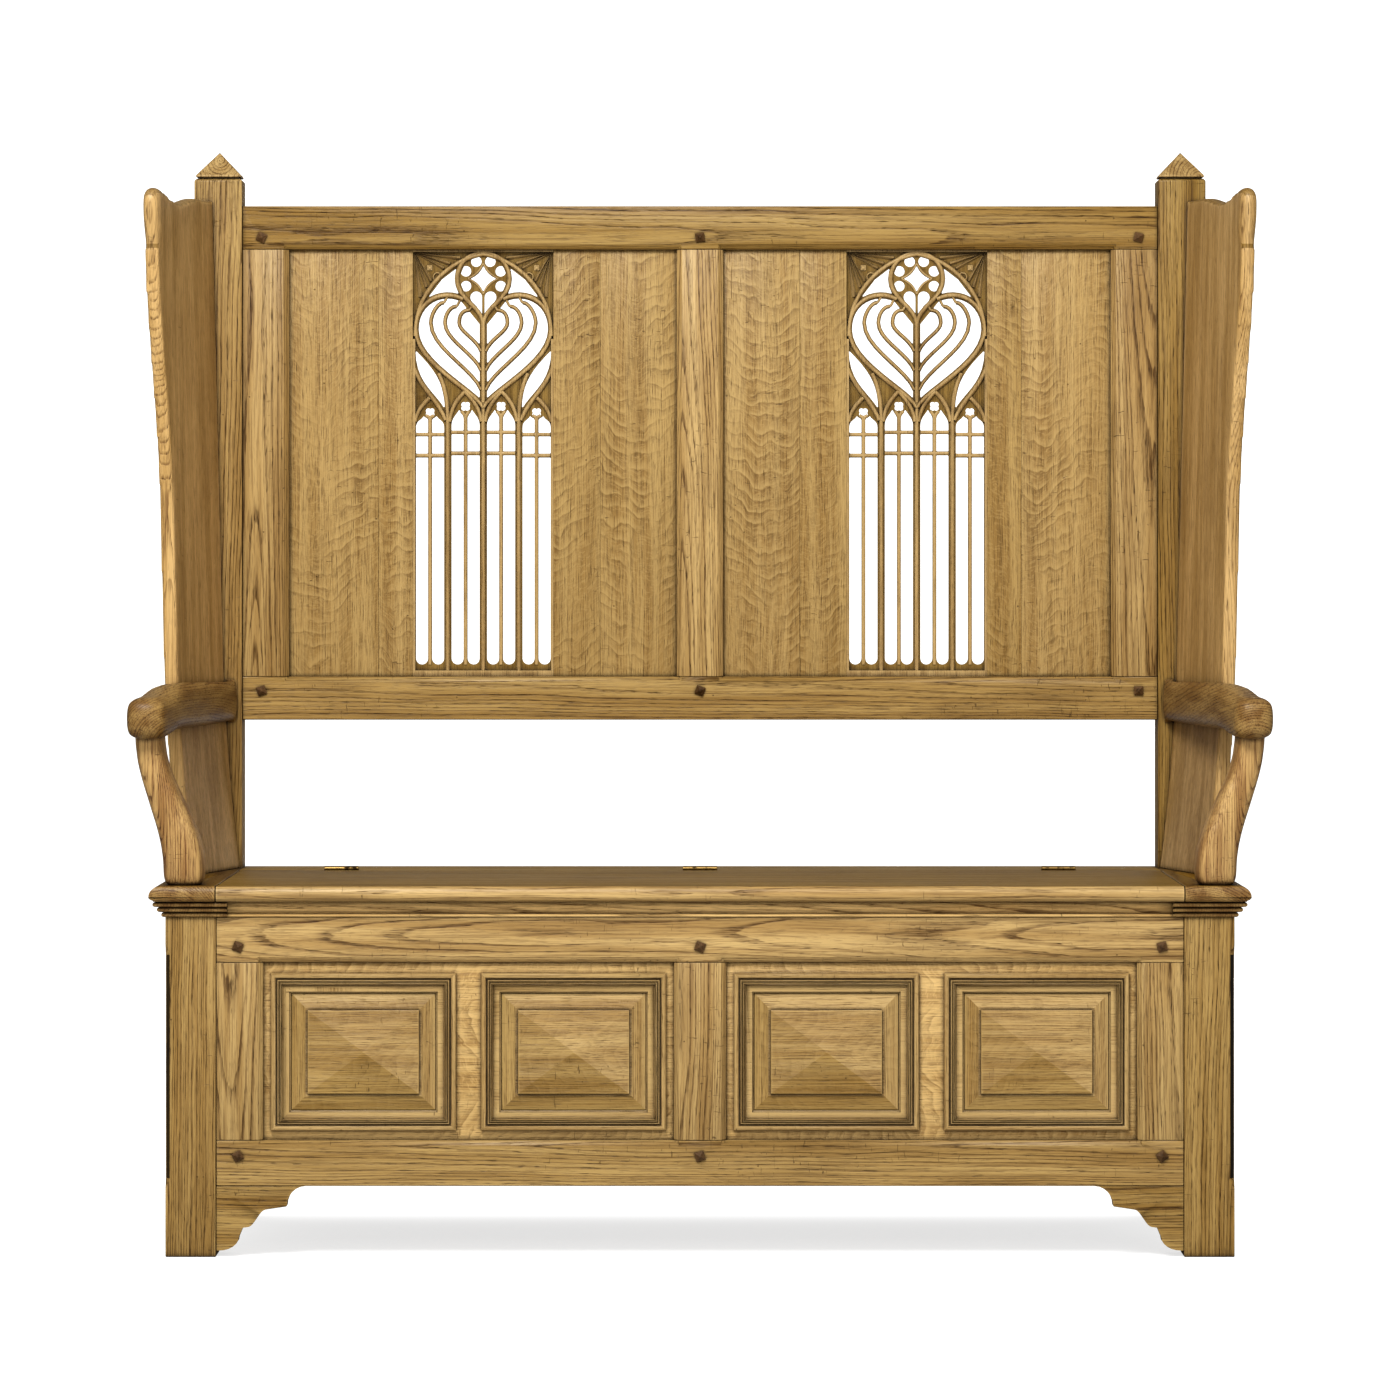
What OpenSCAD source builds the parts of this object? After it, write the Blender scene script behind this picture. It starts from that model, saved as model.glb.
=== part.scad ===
// High-backed church pew: a panelled box seat with a lift-up lid, two arms on curved
// supports, two shaped wings, and a framed back that carries two pierced tracery boards.
// Millimetres. X runs along the seat, the front faces -Y, +Z is up, and the origin is on
// the floor at the middle of the pew's box. Right-hand parts are drawn; left ones are mirrored.

/* [Frame] */
// Width over the outer faces of the legs and posts
frame_w = 1358; // [1300:2:1500]
// Depth from the front of the legs to the back of the posts
frame_d = 550; // [530:5:580]
// Side of the square legs and posts
leg = 64; // [62:1:66]
// Height of the rear posts, below their caps
post_h = 1398; // [1390:1:1420]
// Height of the top of the seat
seat_h = 472; // [466:1:478]
// Thickness of the seat boards and the lid
board_t = 20; // [18:1:22]

/* [Box seat] */
// Height of the lower rails above the floor
rail_z = 90; // [80:1:100]
// Height of the rails, and of the back's rails
rail_h = 58; // [54:1:62]
// Thickness of the box's rails, stiles and muntin
rail_t = 28; // [26:1:30]
// Height of the recessed frieze under the lid
frieze_h = 20; // [18:1:22]
// Width of the front stiles
front_stile_w = 60; // [56:1:64]
// Width of the front muntin
front_muntin_w = 67; // [60:1:72]
// Bevel round every panel opening
bevel = 7; // [5:1:8]
// Depth of the panels behind the faces of their frames
panel_recess = 12; // [11:1:14]
// Thickness of the panels
panel_t = 12; // [10:1:12]
// Overhang of the lid and end boards in front of the legs
nosing = 23; // [18:1:26]

/* [Back] */
// Height of the back's lower rail above the floor
back_z = 671; // [660:1:680]
// Height of the top of the back's frame above the floor
back_top = 1361; // [1355:1:1366]
// Width of the back's stiles and muntin
back_stile_w = 63; // [60:1:66]
// Thickness of the back's frame
back_t = 32; // [30:1:36]
// Thickness of the back's boards
back_board_t = 14; // [12:1:14]
// Width of a tracery board
tracery_w = 189; // [186:1:192]

/* [Arms and wings] */
// Width of a wing board, front to back, below its ear
wing_d = 222; // [210:1:230]
// How far the ear at a wing's top stands ahead of the rest
ear = 41; // [36:1:46]
// Thickness of the wings
wing_t = 18; // [17:1:20]
// Angle at which the wings open outwards from the posts
splay = 11.6; // [10.5:0.1:12]
// Distance of the arms' outer knobs from the middle of the pew
knob_x = 726; // [726:1:735]
// Width of the knobs
knob_w = 46; // [42:1:50]
// Height of the knobs
knob_h = 49; // [45:1:54]
// How far the knobs stand ahead of the legs
knob_reach = 30; // [26:1:34]

/* [Lid hinges] */
// How far the lid opens
lid_opens = 98; // [90:1:98]
// Length of each hinge
hinge_l = 45; // [40:1:50]
// Distance of the outer hinges from the middle hinge
hinge_pitch = 478; // [440:2:500]

/* [Hidden] */
$fn = 48;

OAK = "#b3935a";
OAK_DARK = "#8a6a38";
OAK_PALE = "#c4a56c";
BRASS = "#b08d3c";

// Frame
half_w = frame_w / 2;
inner_x = half_w - leg;
back_y = (frame_d + knob_reach) / 2;
front_y = back_y - frame_d;
post_y = back_y - leg;
setback = 2;
face_y = front_y + setback;
carcase_z = seat_h - board_t;
open_z0 = rail_z + rail_h;
open_z1 = carcase_z - frieze_h - rail_h;
side_face = half_w - setback;
side_len = post_y - front_y - leg;

// Joints: tenons, their mortises, grooves and pegs
tenon_t = 10;
tenon_l = 34;
tenon_in = 8;
play = 0.2;
groove = 8;
peg_r = 4.5;
peg_l = 26;
peg_head = 12;
peg_head_h = 5;

// Front panels: each opening has two fields with a moulding round them
open_x0 = front_muntin_w / 2;
open_x1 = inner_x - front_stile_w;
field_gap = 32;
field_margin = 9.5;
field_w = (open_x1 - open_x0 - 2 * field_margin - field_gap) / 2;
field_h = open_z1 - open_z0 - 26;
mould_w = 25.5;
mould_t = 11;

// Seat top
lid_gap = 1.5;
lid_half = inner_x - lid_gap;
lid_front = front_y - nosing;
hinge_y = post_y - 60;
end_board_x = half_w + 20;
hinge_z = seat_h + 2;
knuckle_r = 3.6;
pin_r = 1.6;
leaf_t = 1.6;
leaf_h = 19;
screw_r = 1.7;
screw_head_r = 3.4;
screw_l = 15;

// Back
back_face = post_y + 4;
back_open_z0 = back_z + rail_h;
back_open_z1 = back_top - rail_h;
back_open_x0 = back_stile_w / 2;
back_open_x1 = inner_x - back_stile_w;
board_y = back_face + 13;
tracery_x = (back_open_x0 + back_open_x1) / 2;
board_joint_out = tracery_x + tracery_w / 2 + 46;
board_joint_in = tracery_x - tracery_w / 2 - 63;

// Arms
arm_top = seat_h + 251;
arm_under = seat_h + 197;
knob_z = seat_h + 188;
knob_front = front_y - knob_reach;
arm_rear_in = inner_x + 6.5;
arm_front_in = knob_x - knob_w;
arm_angle = atan2(arm_front_in - arm_rear_in, post_y - knob_front);
support_d = 46;
support_y = front_y - 2;

// ---- shared shapes ----

// Runs smoothly from 0 to 1
function ease(t) = let (c = max(0, min(1, t))) 3 * c * c - 2 * c * c * c;

// Mirrors a right-hand part to the left
module left() {
    mirror([1, 0, 0]) children();
}

// A box between two corners
module box(a, b) {
    translate(a) cube(b - a);
}

// Draws a profile given as [y, z] points and runs it along X from x0 to x1
module run_x(x0, x1) {
    translate([x0, 0, 0]) rotate([90, 0, 90]) linear_extrude(x1 - x0) children();
}

// Draws a profile given as [x, z] points and runs it back along Y from y0 to y1
module run_y(y0, y1) {
    translate([0, y1, 0]) rotate([90, 0, 0]) linear_extrude(y1 - y0) children();
}

// The bevel round a panel opening in a frame whose face is at y
module opening_bevel(x0, x1, z0, z1, y) {
    out = bevel + 1;
    hull() {
        box([x0 - out, y - 1.01, z0 - out], [x1 + out, y - 1, z1 + out]);
        box([x0 + 1, y + out, z0 + 1], [x1 - 1, y + out + 0.01, z1 - 1]);
    }
}

// Both front openings' bevels and the grooves that hold the panels
module front_openings() {
    for (side = [0, 1]) mirror([side, 0, 0]) {
        opening_bevel(open_x0, open_x1, open_z0, open_z1, face_y);
        box([open_x0 - groove, face_y + panel_recess, open_z0 - groove],
            [open_x1 + groove, face_y + panel_recess + panel_t, open_z1 + groove]);
    }
}

// Both back openings' bevels and the grooves that hold the boards
module back_openings() {
    for (side = [0, 1]) mirror([side, 0, 0]) {
        opening_bevel(back_open_x0, back_open_x1, back_open_z0, back_open_z1, back_face);
        box([back_open_x0 - groove, board_y, back_open_z0 - groove],
            [back_open_x1 + groove, board_y + back_board_t, back_open_z1 + groove]);
    }
}

// Centres of the pegs' heads, [x, y, z, turn]
front_peg_x = inner_x - 28;
peg_spots = [
    for (r = [[face_y, open_z1 + 20, front_peg_x], [face_y, open_z0 - 20, front_peg_x],
              [back_face, back_open_z1 + 16, inner_x - 26],
              [back_face, back_open_z0 - 19, inner_x - 26]])
        for (s = [-1, 0, 1])
            [s * r[2], r[0], r[1], 11 + 23 * s + r[1] / 9]
];

// The holes for the pegs, a little wider than their shanks
module peg_holes() {
    for (p = peg_spots)
        translate([p[0], p[1] - 1, p[2]])
            rotate([-90, 0, 0]) cylinder(r = peg_r + play / 2, h = peg_l + 2);
}

// A rail along X between two legs or posts, with a tenon at each end
module rail_x(y, t, z0, z1, mortise = 0) {
    yc = y + t / 2;
    if (mortise == 0) box([-inner_x, y, z0], [inner_x, y + t, z1]);
    for (side = [0, 1]) mirror([side, 0, 0])
        box([inner_x - 1, yc - tenon_t / 2 - mortise, z0 + tenon_in - mortise],
            [inner_x + tenon_l + mortise, yc + tenon_t / 2 + mortise, z1 - tenon_in + mortise]);
}

// A rail along Y between the right-hand leg and post, with a tenon at each end
module rail_y(z0, z1, mortise = 0) {
    xc = side_face - rail_t / 2;
    y0 = front_y + leg;
    if (mortise == 0) box([side_face - rail_t, y0, z0], [side_face, post_y, z1]);
    box([xc - tenon_t / 2 - mortise, y0 - 30 - mortise, z0 + tenon_in - mortise],
        [xc + tenon_t / 2 + mortise, post_y + 30 + mortise, z1 - tenon_in + mortise]);
}

// An upright between two rails, with a tenon at each end; mortise > 0 gives only the tenons
module upright(x0, x1, y, t, z0, z1, mortise = 0) {
    yc = y + t / 2;
    if (mortise == 0) box([x0, y, z0], [x1, y + t, z1]);
    box([x0 + tenon_in - mortise, yc - tenon_t / 2 - mortise, z0 - tenon_l - mortise],
        [x1 - tenon_in + mortise, yc + tenon_t / 2 + mortise, z1 + tenon_l + mortise]);
}

module front_uprights(mortise = 0) {
    for (side = [0, 1]) mirror([side, 0, 0])
        upright(open_x1, inner_x, face_y, rail_t, open_z0, open_z1, mortise);
    upright(-open_x0, open_x0, face_y, rail_t, open_z0, open_z1, mortise);
}

module back_uprights(mortise = 0) {
    for (side = [0, 1]) mirror([side, 0, 0])
        upright(back_open_x1, inner_x, back_face, back_t, back_open_z0, back_open_z1, mortise);
    upright(-back_open_x0, back_open_x0, back_face, back_t, back_open_z0, back_open_z1, mortise);
}

module front_top_rail_body(mortise = 0) {
    rail_x(face_y, rail_t, open_z1, open_z1 + rail_h, mortise);
}

module front_bottom_rail_body(mortise = 0) {
    rail_x(face_y, rail_t, rail_z, open_z0, mortise);
}

module back_top_rail_body(mortise = 0) {
    rail_x(back_face, back_t, back_open_z1, back_top, mortise);
}

module back_bottom_rail_body(mortise = 0) {
    rail_x(back_face, back_t, back_z, back_open_z0, mortise);
}

rear_rail_t = 24;
rear_rail_y = back_y - 4 - rear_rail_t;

module rear_bottom_rail_body(mortise = 0) {
    rail_x(rear_rail_y, rear_rail_t, rail_z, open_z0, mortise);
}

module side_rail_bodies(mortise = 0) {
    rail_y(rail_z, open_z0, mortise);
    rail_y(open_z1, carcase_z, mortise);
}

// A cutter for a chamfer along Z that dies out at both ends
module stopped_chamfer(x, y, z0, z1, c) {
    run_out = 14;
    hull() {
        translate([x, y, z0 + run_out]) rotate([0, 0, 45])
            translate([-c, -c, 0]) cube([2 * c, 2 * c, z1 - z0 - 2 * run_out]);
        translate([x, y, z0]) rotate([0, 0, 45])
            translate([-0.1, -0.1, 0]) cube([0.2, 0.2, z1 - z0]);
    }
}

// ---- legs, posts and caps ----

module front_leg() color(OAK) {
    difference() {
        box([inner_x, front_y, 0], [half_w, front_y + leg, carcase_z]);
        front_top_rail_body(play);
        front_bottom_rail_body(play);
        side_rail_bodies(play);
        stopped_chamfer(half_w, front_y, 86, 398, 4.5);
    }
}

module rear_post() color(OAK) {
    x = inner_x + leg / 2;
    y = post_y + leg / 2;
    difference() {
        union() {
            box([inner_x, post_y, 0], [half_w, back_y, post_h - 3]);
            hull() {
                box([inner_x, post_y, post_h - 3.1], [half_w, back_y, post_h - 3]);
                box([inner_x + 3, post_y + 3, post_h - 3], [half_w - 3, back_y - 3, post_h]);
            }
        }
        back_top_rail_body(play);
        back_bottom_rail_body(play);
        rear_bottom_rail_body(play);
        side_rail_bodies(play);
        seat_board_tenons(play);
        translate([x, y, post_h - 32]) cylinder(r = 8 + play / 2, h = 33);
    }
}

// A low pyramid on a thin square neck, with a dowel down into the post
module post_cap() color(OAK_PALE) {
    edge = 60;
    neck = 53;
    rise = 33;
    translate([inner_x + leg / 2, post_y + leg / 2, post_h]) {
        translate([0, 0, -30]) cylinder(r = 8, h = 31);
        translate([-neck / 2, -neck / 2, 0]) cube([neck, neck, 3]);
        hull() {
            translate([-edge / 2, -edge / 2, 2]) cube([edge, edge, 2.6]);
            translate([-0.5, -0.5, 3]) cube([1, 1, rise]);
        }
    }
}

// ---- front of the box ----

module front_top_rail() color(OAK) {
    difference() {
        front_top_rail_body();
        front_openings();
        front_uprights(play);
        peg_holes();
    }
}

module front_bottom_rail() color(OAK) {
    difference() {
        front_bottom_rail_body();
        front_openings();
        floor_groove();
        front_uprights(play);
        peg_holes();
    }
}

module front_stile() color(OAK_PALE) {
    difference() {
        upright(open_x1, inner_x, face_y, rail_t, open_z0, open_z1);
        front_openings();
        peg_holes();
    }
}

module front_muntin() color(OAK_PALE) {
    difference() {
        upright(-open_x0, open_x0, face_y, rail_t, open_z0, open_z1);
        front_openings();
        peg_holes();
    }
}

module front_panel() color(OAK) {
    in = groove - 1;
    y = face_y + panel_recess;
    box([open_x0 - in, y + 0.1, open_z0 - in], [open_x1 + in, y + panel_t - 0.1, open_z1 + in]);
}

panel_face = face_y + panel_recess + 0.1;
field_x = [open_x0 + field_margin + field_w / 2, open_x1 - field_margin - field_w / 2];
field_z = (open_z0 + open_z1) / 2 - 1;

// The moulding's section, [across from its outer edge, out from the panel]
function mould_profile() = concat(
    [[0, 0], [0, 4]],
    [for (a = [180:-30:0]) [3.5 + 3.5 * cos(a), 6.5 + 3.5 * sin(a)]],
    [[8, 6.5], [8, mould_t - 2.5], [9.5, mould_t - 1]],
    [for (a = [180:-30:0]) [12.5 + 2.5 * cos(a), mould_t - 2.5 + 2.5 * sin(a)]],
    [[15.5, mould_t - 4]],
    [for (a = [90:20:180]) [24 + 8 * cos(a), 2 + 5 * sin(a)]],
    [[mould_w, 2], [mould_w, 0]]
);

// One mitred strip along the lower edge of a w x h frame centred on the origin
module mould_strip(w, h) {
    intersection() {
        translate([-w / 2, 0, -h / 2]) rotate([90, 0, 90])
            linear_extrude(w) polygon([for (p = mould_profile()) [-p[1], p[0]]]);
        run_y(-mould_t - 1, 1)
            polygon([[-w / 2, -h / 2], [w / 2, -h / 2],
                     [w / 2 - mould_w, mould_w - h / 2], [mould_w - w / 2, mould_w - h / 2]]);
    }
}

// A mitred moulding round one field, centred on the origin
module field_moulding() {
    for (side = [0, 1]) {
        mirror([0, 0, side]) mould_strip(field_w, field_h);
        mirror([side, 0, 0]) rotate([0, 90, 0]) mould_strip(field_h, field_w);
    }
}

module field_mouldings() color(OAK_DARK) {
    for (x = field_x) translate([x, panel_face, field_z]) field_moulding();
}

// A block with sloping sides, a small step and a very low pyramid on its face
module raised_field() {
    gap = 0.3;
    w = field_w / 2 - mould_w - gap;
    h = field_h / 2 - mould_w - gap;
    slope = 18;
    step = 3;
    union() {
        hull() {
            box([-w, -2, -h], [w, 0, h]);
            box([slope - w, -5.5, slope - h], [w - slope, 0, h - slope]);
        }
        hull() {
            box([slope + step - w, -9.5, slope + step - h],
                [w - slope - step, -5, h - slope - step]);
            box([-1, -12.5, -1], [1, -5, 1]);
        }
    }
}

module place_field(x) color(OAK_PALE) {
    translate([x, panel_face, field_z]) raised_field();
}

// Shaped bracket in the corner under the lower rail: two quarter rounds and an ogee between
module front_bracket() color(OAK) {
    x = inner_x;
    z = rail_z;
    run_y(face_y, face_y + 22)
        polygon(concat(
            [[x, z], [x - 114, z]],
            [for (a = [0:15:90]) [x - 114 + 24 * sin(a), z - 26 * (1 - cos(a))]],
            [[x - 63, z - 30]],
            [for (i = [1:8]) let (t = i / 8) [x - 63 + 22 * t, z - 30 - 22 * ease(t)]],
            [[x - 34, z - 53], [x - 29, z - 65]],
            [for (a = [15:15:75]) [x - 29 + 25 * (1 - cos(a)), z - 65 - 17 * sin(a)]],
            [[x - 3, z - 82], [x, z - 82]]));
}

// Recessed strip between the top rail and the lid, with a small bead along its foot
module front_frieze() color(OAK_DARK) {
    z = open_z1 + rail_h;
    run_x(-inner_x, inner_x)
        polygon(concat(
            [[face_y + rail_t, z], [face_y, z]],
            [for (a = [270:-30:90]) [face_y + 2 * cos(a), z + 2 + 2 * sin(a)]],
            [[face_y + 6, z + 4], [face_y + 6, carcase_z], [face_y + rail_t, carcase_z]]));
}

// ---- seat top ----

// The cornice's section: three reeds that step out to the top, [out, up]
function reeds() = concat(
    [[-1, 0], [2, 0]],
    [for (i = [0:2], a = [-90:30:90])
        [2 + 5.2 * i + 3 * cos(a), 3 + frieze_h / 3 * i + 3 * sin(a)]],
    [[12, frieze_h], [-1, frieze_h]]
);

// Moulding round the head of the leg, from the front's return to the back of the post
module cornice() color(OAK_DARK) {
    z = carcase_z - frieze_h;
    reach = 20;
    back = 1;
    x0 = inner_x - 15;
    difference() {
        union() {
            intersection() {
                translate([x0, front_y, z]) rotate([90, 0, 90])
                    linear_extrude(200) polygon([for (p = reeds()) [-p[0], p[1]]]);
                linear_extrude(seat_h)
                    polygon([[x0, front_y - reach], [half_w + reach, front_y - reach],
                             [half_w - back, front_y + back], [x0, front_y + back]]);
            }
            intersection() {
                translate([half_w, back_y, z]) rotate([90, 0, 0])
                    linear_extrude(frame_d + reach) polygon(reeds());
                linear_extrude(seat_h)
                    polygon([[half_w - back, front_y + back], [half_w + reach, front_y - reach],
                             [half_w + reach, back_y], [half_w - back, back_y]]);
            }
        }
        box([x0 - 1, front_y, 0], [half_w, back_y + 1, seat_h]);
    }
}

// Fixed board at the end of the seat, notched round the post, with a rounded nosing
module seat_end_board() color(OAK_DARK) {
    cut = 15;
    difference() {
        intersection() {
            box([inner_x, lid_front, carcase_z], [end_board_x, back_y, seat_h]);
            run_y(lid_front - 1, back_y + 1)
                polygon(concat([[inner_x, carcase_z], [end_board_x - 4, carcase_z]],
                    [for (a = [-60:15:90])
                        [end_board_x - cut + cut * cos(a),
                         carcase_z + 6 + (a < 0 ? 6 : board_t - 6) * sin(a)]],
                    [[inner_x, seat_h]]));
            run_x(inner_x - 1, end_board_x + 1)
                polygon(concat([[back_y, carcase_z], [lid_front + 4, carcase_z]],
                    [for (a = [-60:15:90])
                        [lid_front + 7 - 7 * cos(a),
                         carcase_z + 6 + (a < 0 ? 6 : board_t - 6) * sin(a)]],
                    [[back_y, seat_h]]));
        }
        box([inner_x - 1, post_y, 0], [half_w, back_y + 1, post_h]);
        support_dowel(play / 2);
    }
}

// The rear board's tenons into the posts
module seat_board_tenons(mortise = 0) {
    for (side = [0, 1]) mirror([side, 0, 0])
        box([inner_x - 1, post_y + 12 - mortise, carcase_z + 6 - mortise],
            [inner_x + 30 + mortise, back_y - 12 + mortise, seat_h - 6 + mortise]);
}

// Fixed strip of the seat behind the lid, to which the hinges are screwed
module seat_rear_board() color(OAK) {
    seat_board_tenons();
    difference() {
        box([-inner_x, hinge_y + lid_gap / 2, carcase_z], [inner_x, back_y - 4, seat_h]);
        hinge_recess(hinge_y + lid_gap / 2 - 1, hinge_y + lid_gap / 2 + leaf_t);
        knuckle_recess();
        screw_holes(1);
        box([-inner_x + 1, rear_panel_y, carcase_z - 1],
            [inner_x - 1, rear_panel_y + panel_t, carcase_z + groove]);
    }
}

// ---- sides and back of the box ----

side_open_y0 = front_y + leg;

// Bevel and groove of the side opening
module side_opening() {
    out = bevel + 1;
    x = side_face;
    hull() {
        box([x + 1, side_open_y0 - 0.5, open_z0 - out], [x + 1.01, post_y + 0.5, open_z1 + out]);
        box([x - out - 0.01, side_open_y0 - 0.5, open_z0 + 1],
            [x - out, post_y + 0.5, open_z1 - 1]);
    }
    box([x - panel_recess - panel_t, side_open_y0 - 1, open_z0 - groove],
        [x - panel_recess, post_y + 1, open_z1 + groove]);
}

module side_top_rail() color(OAK) {
    difference() {
        rail_y(open_z1, carcase_z);
        side_opening();
    }
}

module side_bottom_rail() color(OAK) {
    difference() {
        rail_y(rail_z, open_z0);
        side_opening();
    }
}

// Panel with its middle raised by a sloping margin
module side_panel() color(OAK_PALE) {
    in = groove - 1;
    x = side_face - panel_recess - 0.1;
    margin = 14;
    slope = 24;
    box([x - panel_t + 0.2, side_open_y0, open_z0 - in], [x, post_y, open_z1 + in]);
    hull() {
        box([x - 1, side_open_y0 + margin, open_z0 + margin],
            [x + 1.5, post_y - margin, open_z1 - margin]);
        box([x - 1, side_open_y0 + margin + slope, open_z0 + margin + slope],
            [x + 8, post_y - margin - slope, open_z1 - margin - slope]);
    }
}

rear_panel_y = rear_rail_y + 6;

module rear_bottom_rail() color(OAK) {
    difference() {
        rear_bottom_rail_body();
        floor_groove();
        box([-inner_x + 0.5, rear_panel_y, open_z0 - groove],
            [inner_x - 0.5, rear_panel_y + panel_t, open_z0 + 1]);
    }
}

module rear_panel() color(OAK_PALE) {
    box([-inner_x + 1, rear_panel_y + 0.1, open_z0 - groove + 1],
        [inner_x - 1, rear_panel_y + panel_t - 0.1, carcase_z + groove - 1]);
}

floor_z = rail_z + 14;
floor_t = 12;
floor_in = 6;

// Grooves in the lower rails for the floor boards
module floor_groove() {
    box([-inner_x + 1, face_y + rail_t - floor_in, floor_z - play / 2],
        [inner_x - 1, rear_rail_y + floor_in, floor_z + floor_t + play / 2]);
}

// Five boards across the box, side by side, their ends in the grooves
module floor_boards() color(OAK_PALE) {
    n = 5;
    gap = 2;
    w = (2 * inner_x - 4 - gap * (n - 1)) / n;
    for (i = [0:n - 1])
        translate([2 - inner_x + i * (w + gap), face_y + rail_t - floor_in + 0.5, floor_z])
            cube([w, rear_rail_y - face_y - rail_t + 2 * floor_in - 1, floor_t]);
}

// ---- lid and hinges ----

module seat_lid() color(OAK) {
    difference() {
        intersection() {
            box([-lid_half, lid_front, carcase_z],
                [lid_half, hinge_y - lid_gap / 2, seat_h]);
            run_x(-lid_half - 1, lid_half + 1)
                polygon(concat([[hinge_y, carcase_z], [lid_front + 5, carcase_z]],
                    [for (a = [-75:15:90])
                        [lid_front + 8 - 8 * cos(a),
                         carcase_z + 8 + (a < 0 ? 8 : board_t - 8) * sin(a)]],
                    [[hinge_y, seat_h]]));
        }
        hinge_recess(hinge_y - lid_gap / 2 - leaf_t, hinge_y - lid_gap / 2 + 1);
        knuckle_recess();
        screw_holes(-1);
    }
}

module at_hinges() {
    for (x = [-hinge_pitch, 0, hinge_pitch]) translate([x, hinge_y, hinge_z]) children();
}

module hinge_recess(y0, y1) {
    for (x = [-hinge_pitch, 0, hinge_pitch])
        box([x - hinge_l / 2 - play, y0, hinge_z - leaf_h - play],
            [x + hinge_l / 2 + play, y1, seat_h + 1]);
}

// Trough round the knuckles, cut down from the seat's top
module knuckle_recess() {
    w = knuckle_r + 0.5;
    at_hinges() box([-hinge_l / 2 - 0.5 - play, -w, -w], [hinge_l / 2 + 0.5 + play, w, 1]);
}

screw_x = [-15, 0, 15];
screw_z = -11;

// side is 1 for the leaves on the fixed board and -1 for those on the lid
module screw_holes(side) {
    at_hinges() for (x = screw_x)
        translate([x, side * lid_gap / 2, screw_z]) rotate([-90 * side, 0, 0])
            cylinder(r = screw_r + 0.05, h = screw_l + 0.5);
}

// Leaves with the knuckles numbered in odd or even; five knuckles to a hinge
module leaves(side, odd) color(BRASS) {
    k = hinge_l / 5;
    at_hinges() difference() {
        union() {
            box([-hinge_l / 2, side > 0 ? lid_gap / 2 : -lid_gap / 2 - leaf_t, -leaf_h],
                [hinge_l / 2, side > 0 ? lid_gap / 2 + leaf_t : -lid_gap / 2, -knuckle_r - 0.4]);
            for (i = [0:4]) if (i % 2 == odd) {
                translate([-hinge_l / 2 + i * k + 0.1, 0, 0])
                    rotate([0, 90, 0]) cylinder(r = knuckle_r, h = k - 0.2);
                box([-hinge_l / 2 + i * k + 0.1, side > 0 ? lid_gap / 2 : -lid_gap / 2 - leaf_t,
                     -knuckle_r - 0.5],
                    [-hinge_l / 2 + (i + 1) * k - 0.1,
                     side > 0 ? lid_gap / 2 + leaf_t : -lid_gap / 2, -1]);
            }
        }
        translate([-hinge_l / 2 - 1, 0, 0]) rotate([0, 90, 0])
            cylinder(r = pin_r + 0.05, h = hinge_l + 2);
        for (x = screw_x) translate([x, side * lid_gap / 2, screw_z]) rotate([-90 * side, 0, 0]) {
            translate([0, 0, -0.01])
                cylinder(r1 = screw_head_r + 0.05, r2 = screw_r + 0.05, h = leaf_t + 0.02);
        }
    }
}

module hinge_pins() color(BRASS) {
    at_hinges() translate([-hinge_l / 2 - 0.5, 0, 0]) rotate([0, 90, 0])
        cylinder(r = pin_r, h = hinge_l + 1);
}

module hinge_screws(side) color(BRASS) {
    at_hinges() for (x = screw_x)
        translate([x, side * lid_gap / 2, screw_z]) rotate([-90 * side, 0, 0]) {
            cylinder(r1 = screw_head_r, r2 = screw_r, h = leaf_t);
            translate([0, 0, leaf_t - 0.1]) cylinder(r = screw_r, h = screw_l - leaf_t);
        }
}

// ---- back ----

module back_top_rail() color(OAK) {
    difference() {
        back_top_rail_body();
        back_openings();
        back_uprights(play);
        peg_holes();
    }
}

module back_bottom_rail() color(OAK) {
    difference() {
        back_bottom_rail_body();
        back_openings();
        back_uprights(play);
        peg_holes();
    }
}

module back_stile() color(OAK_PALE) {
    difference() {
        upright(back_open_x1, inner_x, back_face, back_t, back_open_z0, back_open_z1);
        back_openings();
        peg_holes();
    }
}

module back_muntin() color(OAK_PALE) {
    difference() {
        upright(-back_open_x0, back_open_x0, back_face, back_t, back_open_z0, back_open_z1);
        back_openings();
        peg_holes();
    }
}

// One vertical board of the back, held in the grooves; boards stand a hair apart
module back_board(x0, x1) {
    in = groove - 1;
    hair = 0.2;
    box([x0 + hair, board_y + 0.1, back_open_z0 - in],
        [x1 - hair, board_y + back_board_t - 0.1, back_open_z1 + in]);
}

module back_outer_boards() color(OAK) {
    back_board(tracery_x + tracery_w / 2, board_joint_out);
    back_board(board_joint_out, back_open_x1 + groove - 1);
}

module back_inner_boards() color(OAK) {
    back_board(back_open_x0 - groove + 1, board_joint_in);
    back_board(board_joint_in, tracery_x - tracery_w / 2);
}

// ---- tracery: drawn on x across its middle and z down from the top of the opening ----

main_rib = 8.6;
heart_rib = 5.2;
mullion = 9.8;
sub_mullion = 5.2;
light_w = 16.4;
lancet_w = 2 * light_w + sub_mullion;
ring_z = -38.6;
ring_in = 31;
light_foot = back_open_z0 - back_open_z1 + 16;

// Points along a cubic curve
function curve(p, n = 9) = [
    for (i = [0:n]) let (t = i / n, s = 1 - t)
        s * s * s * p[0] + 3 * s * s * t * p[1] + 3 * s * t * t * p[2] + t * t * t * p[3]
];

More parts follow.
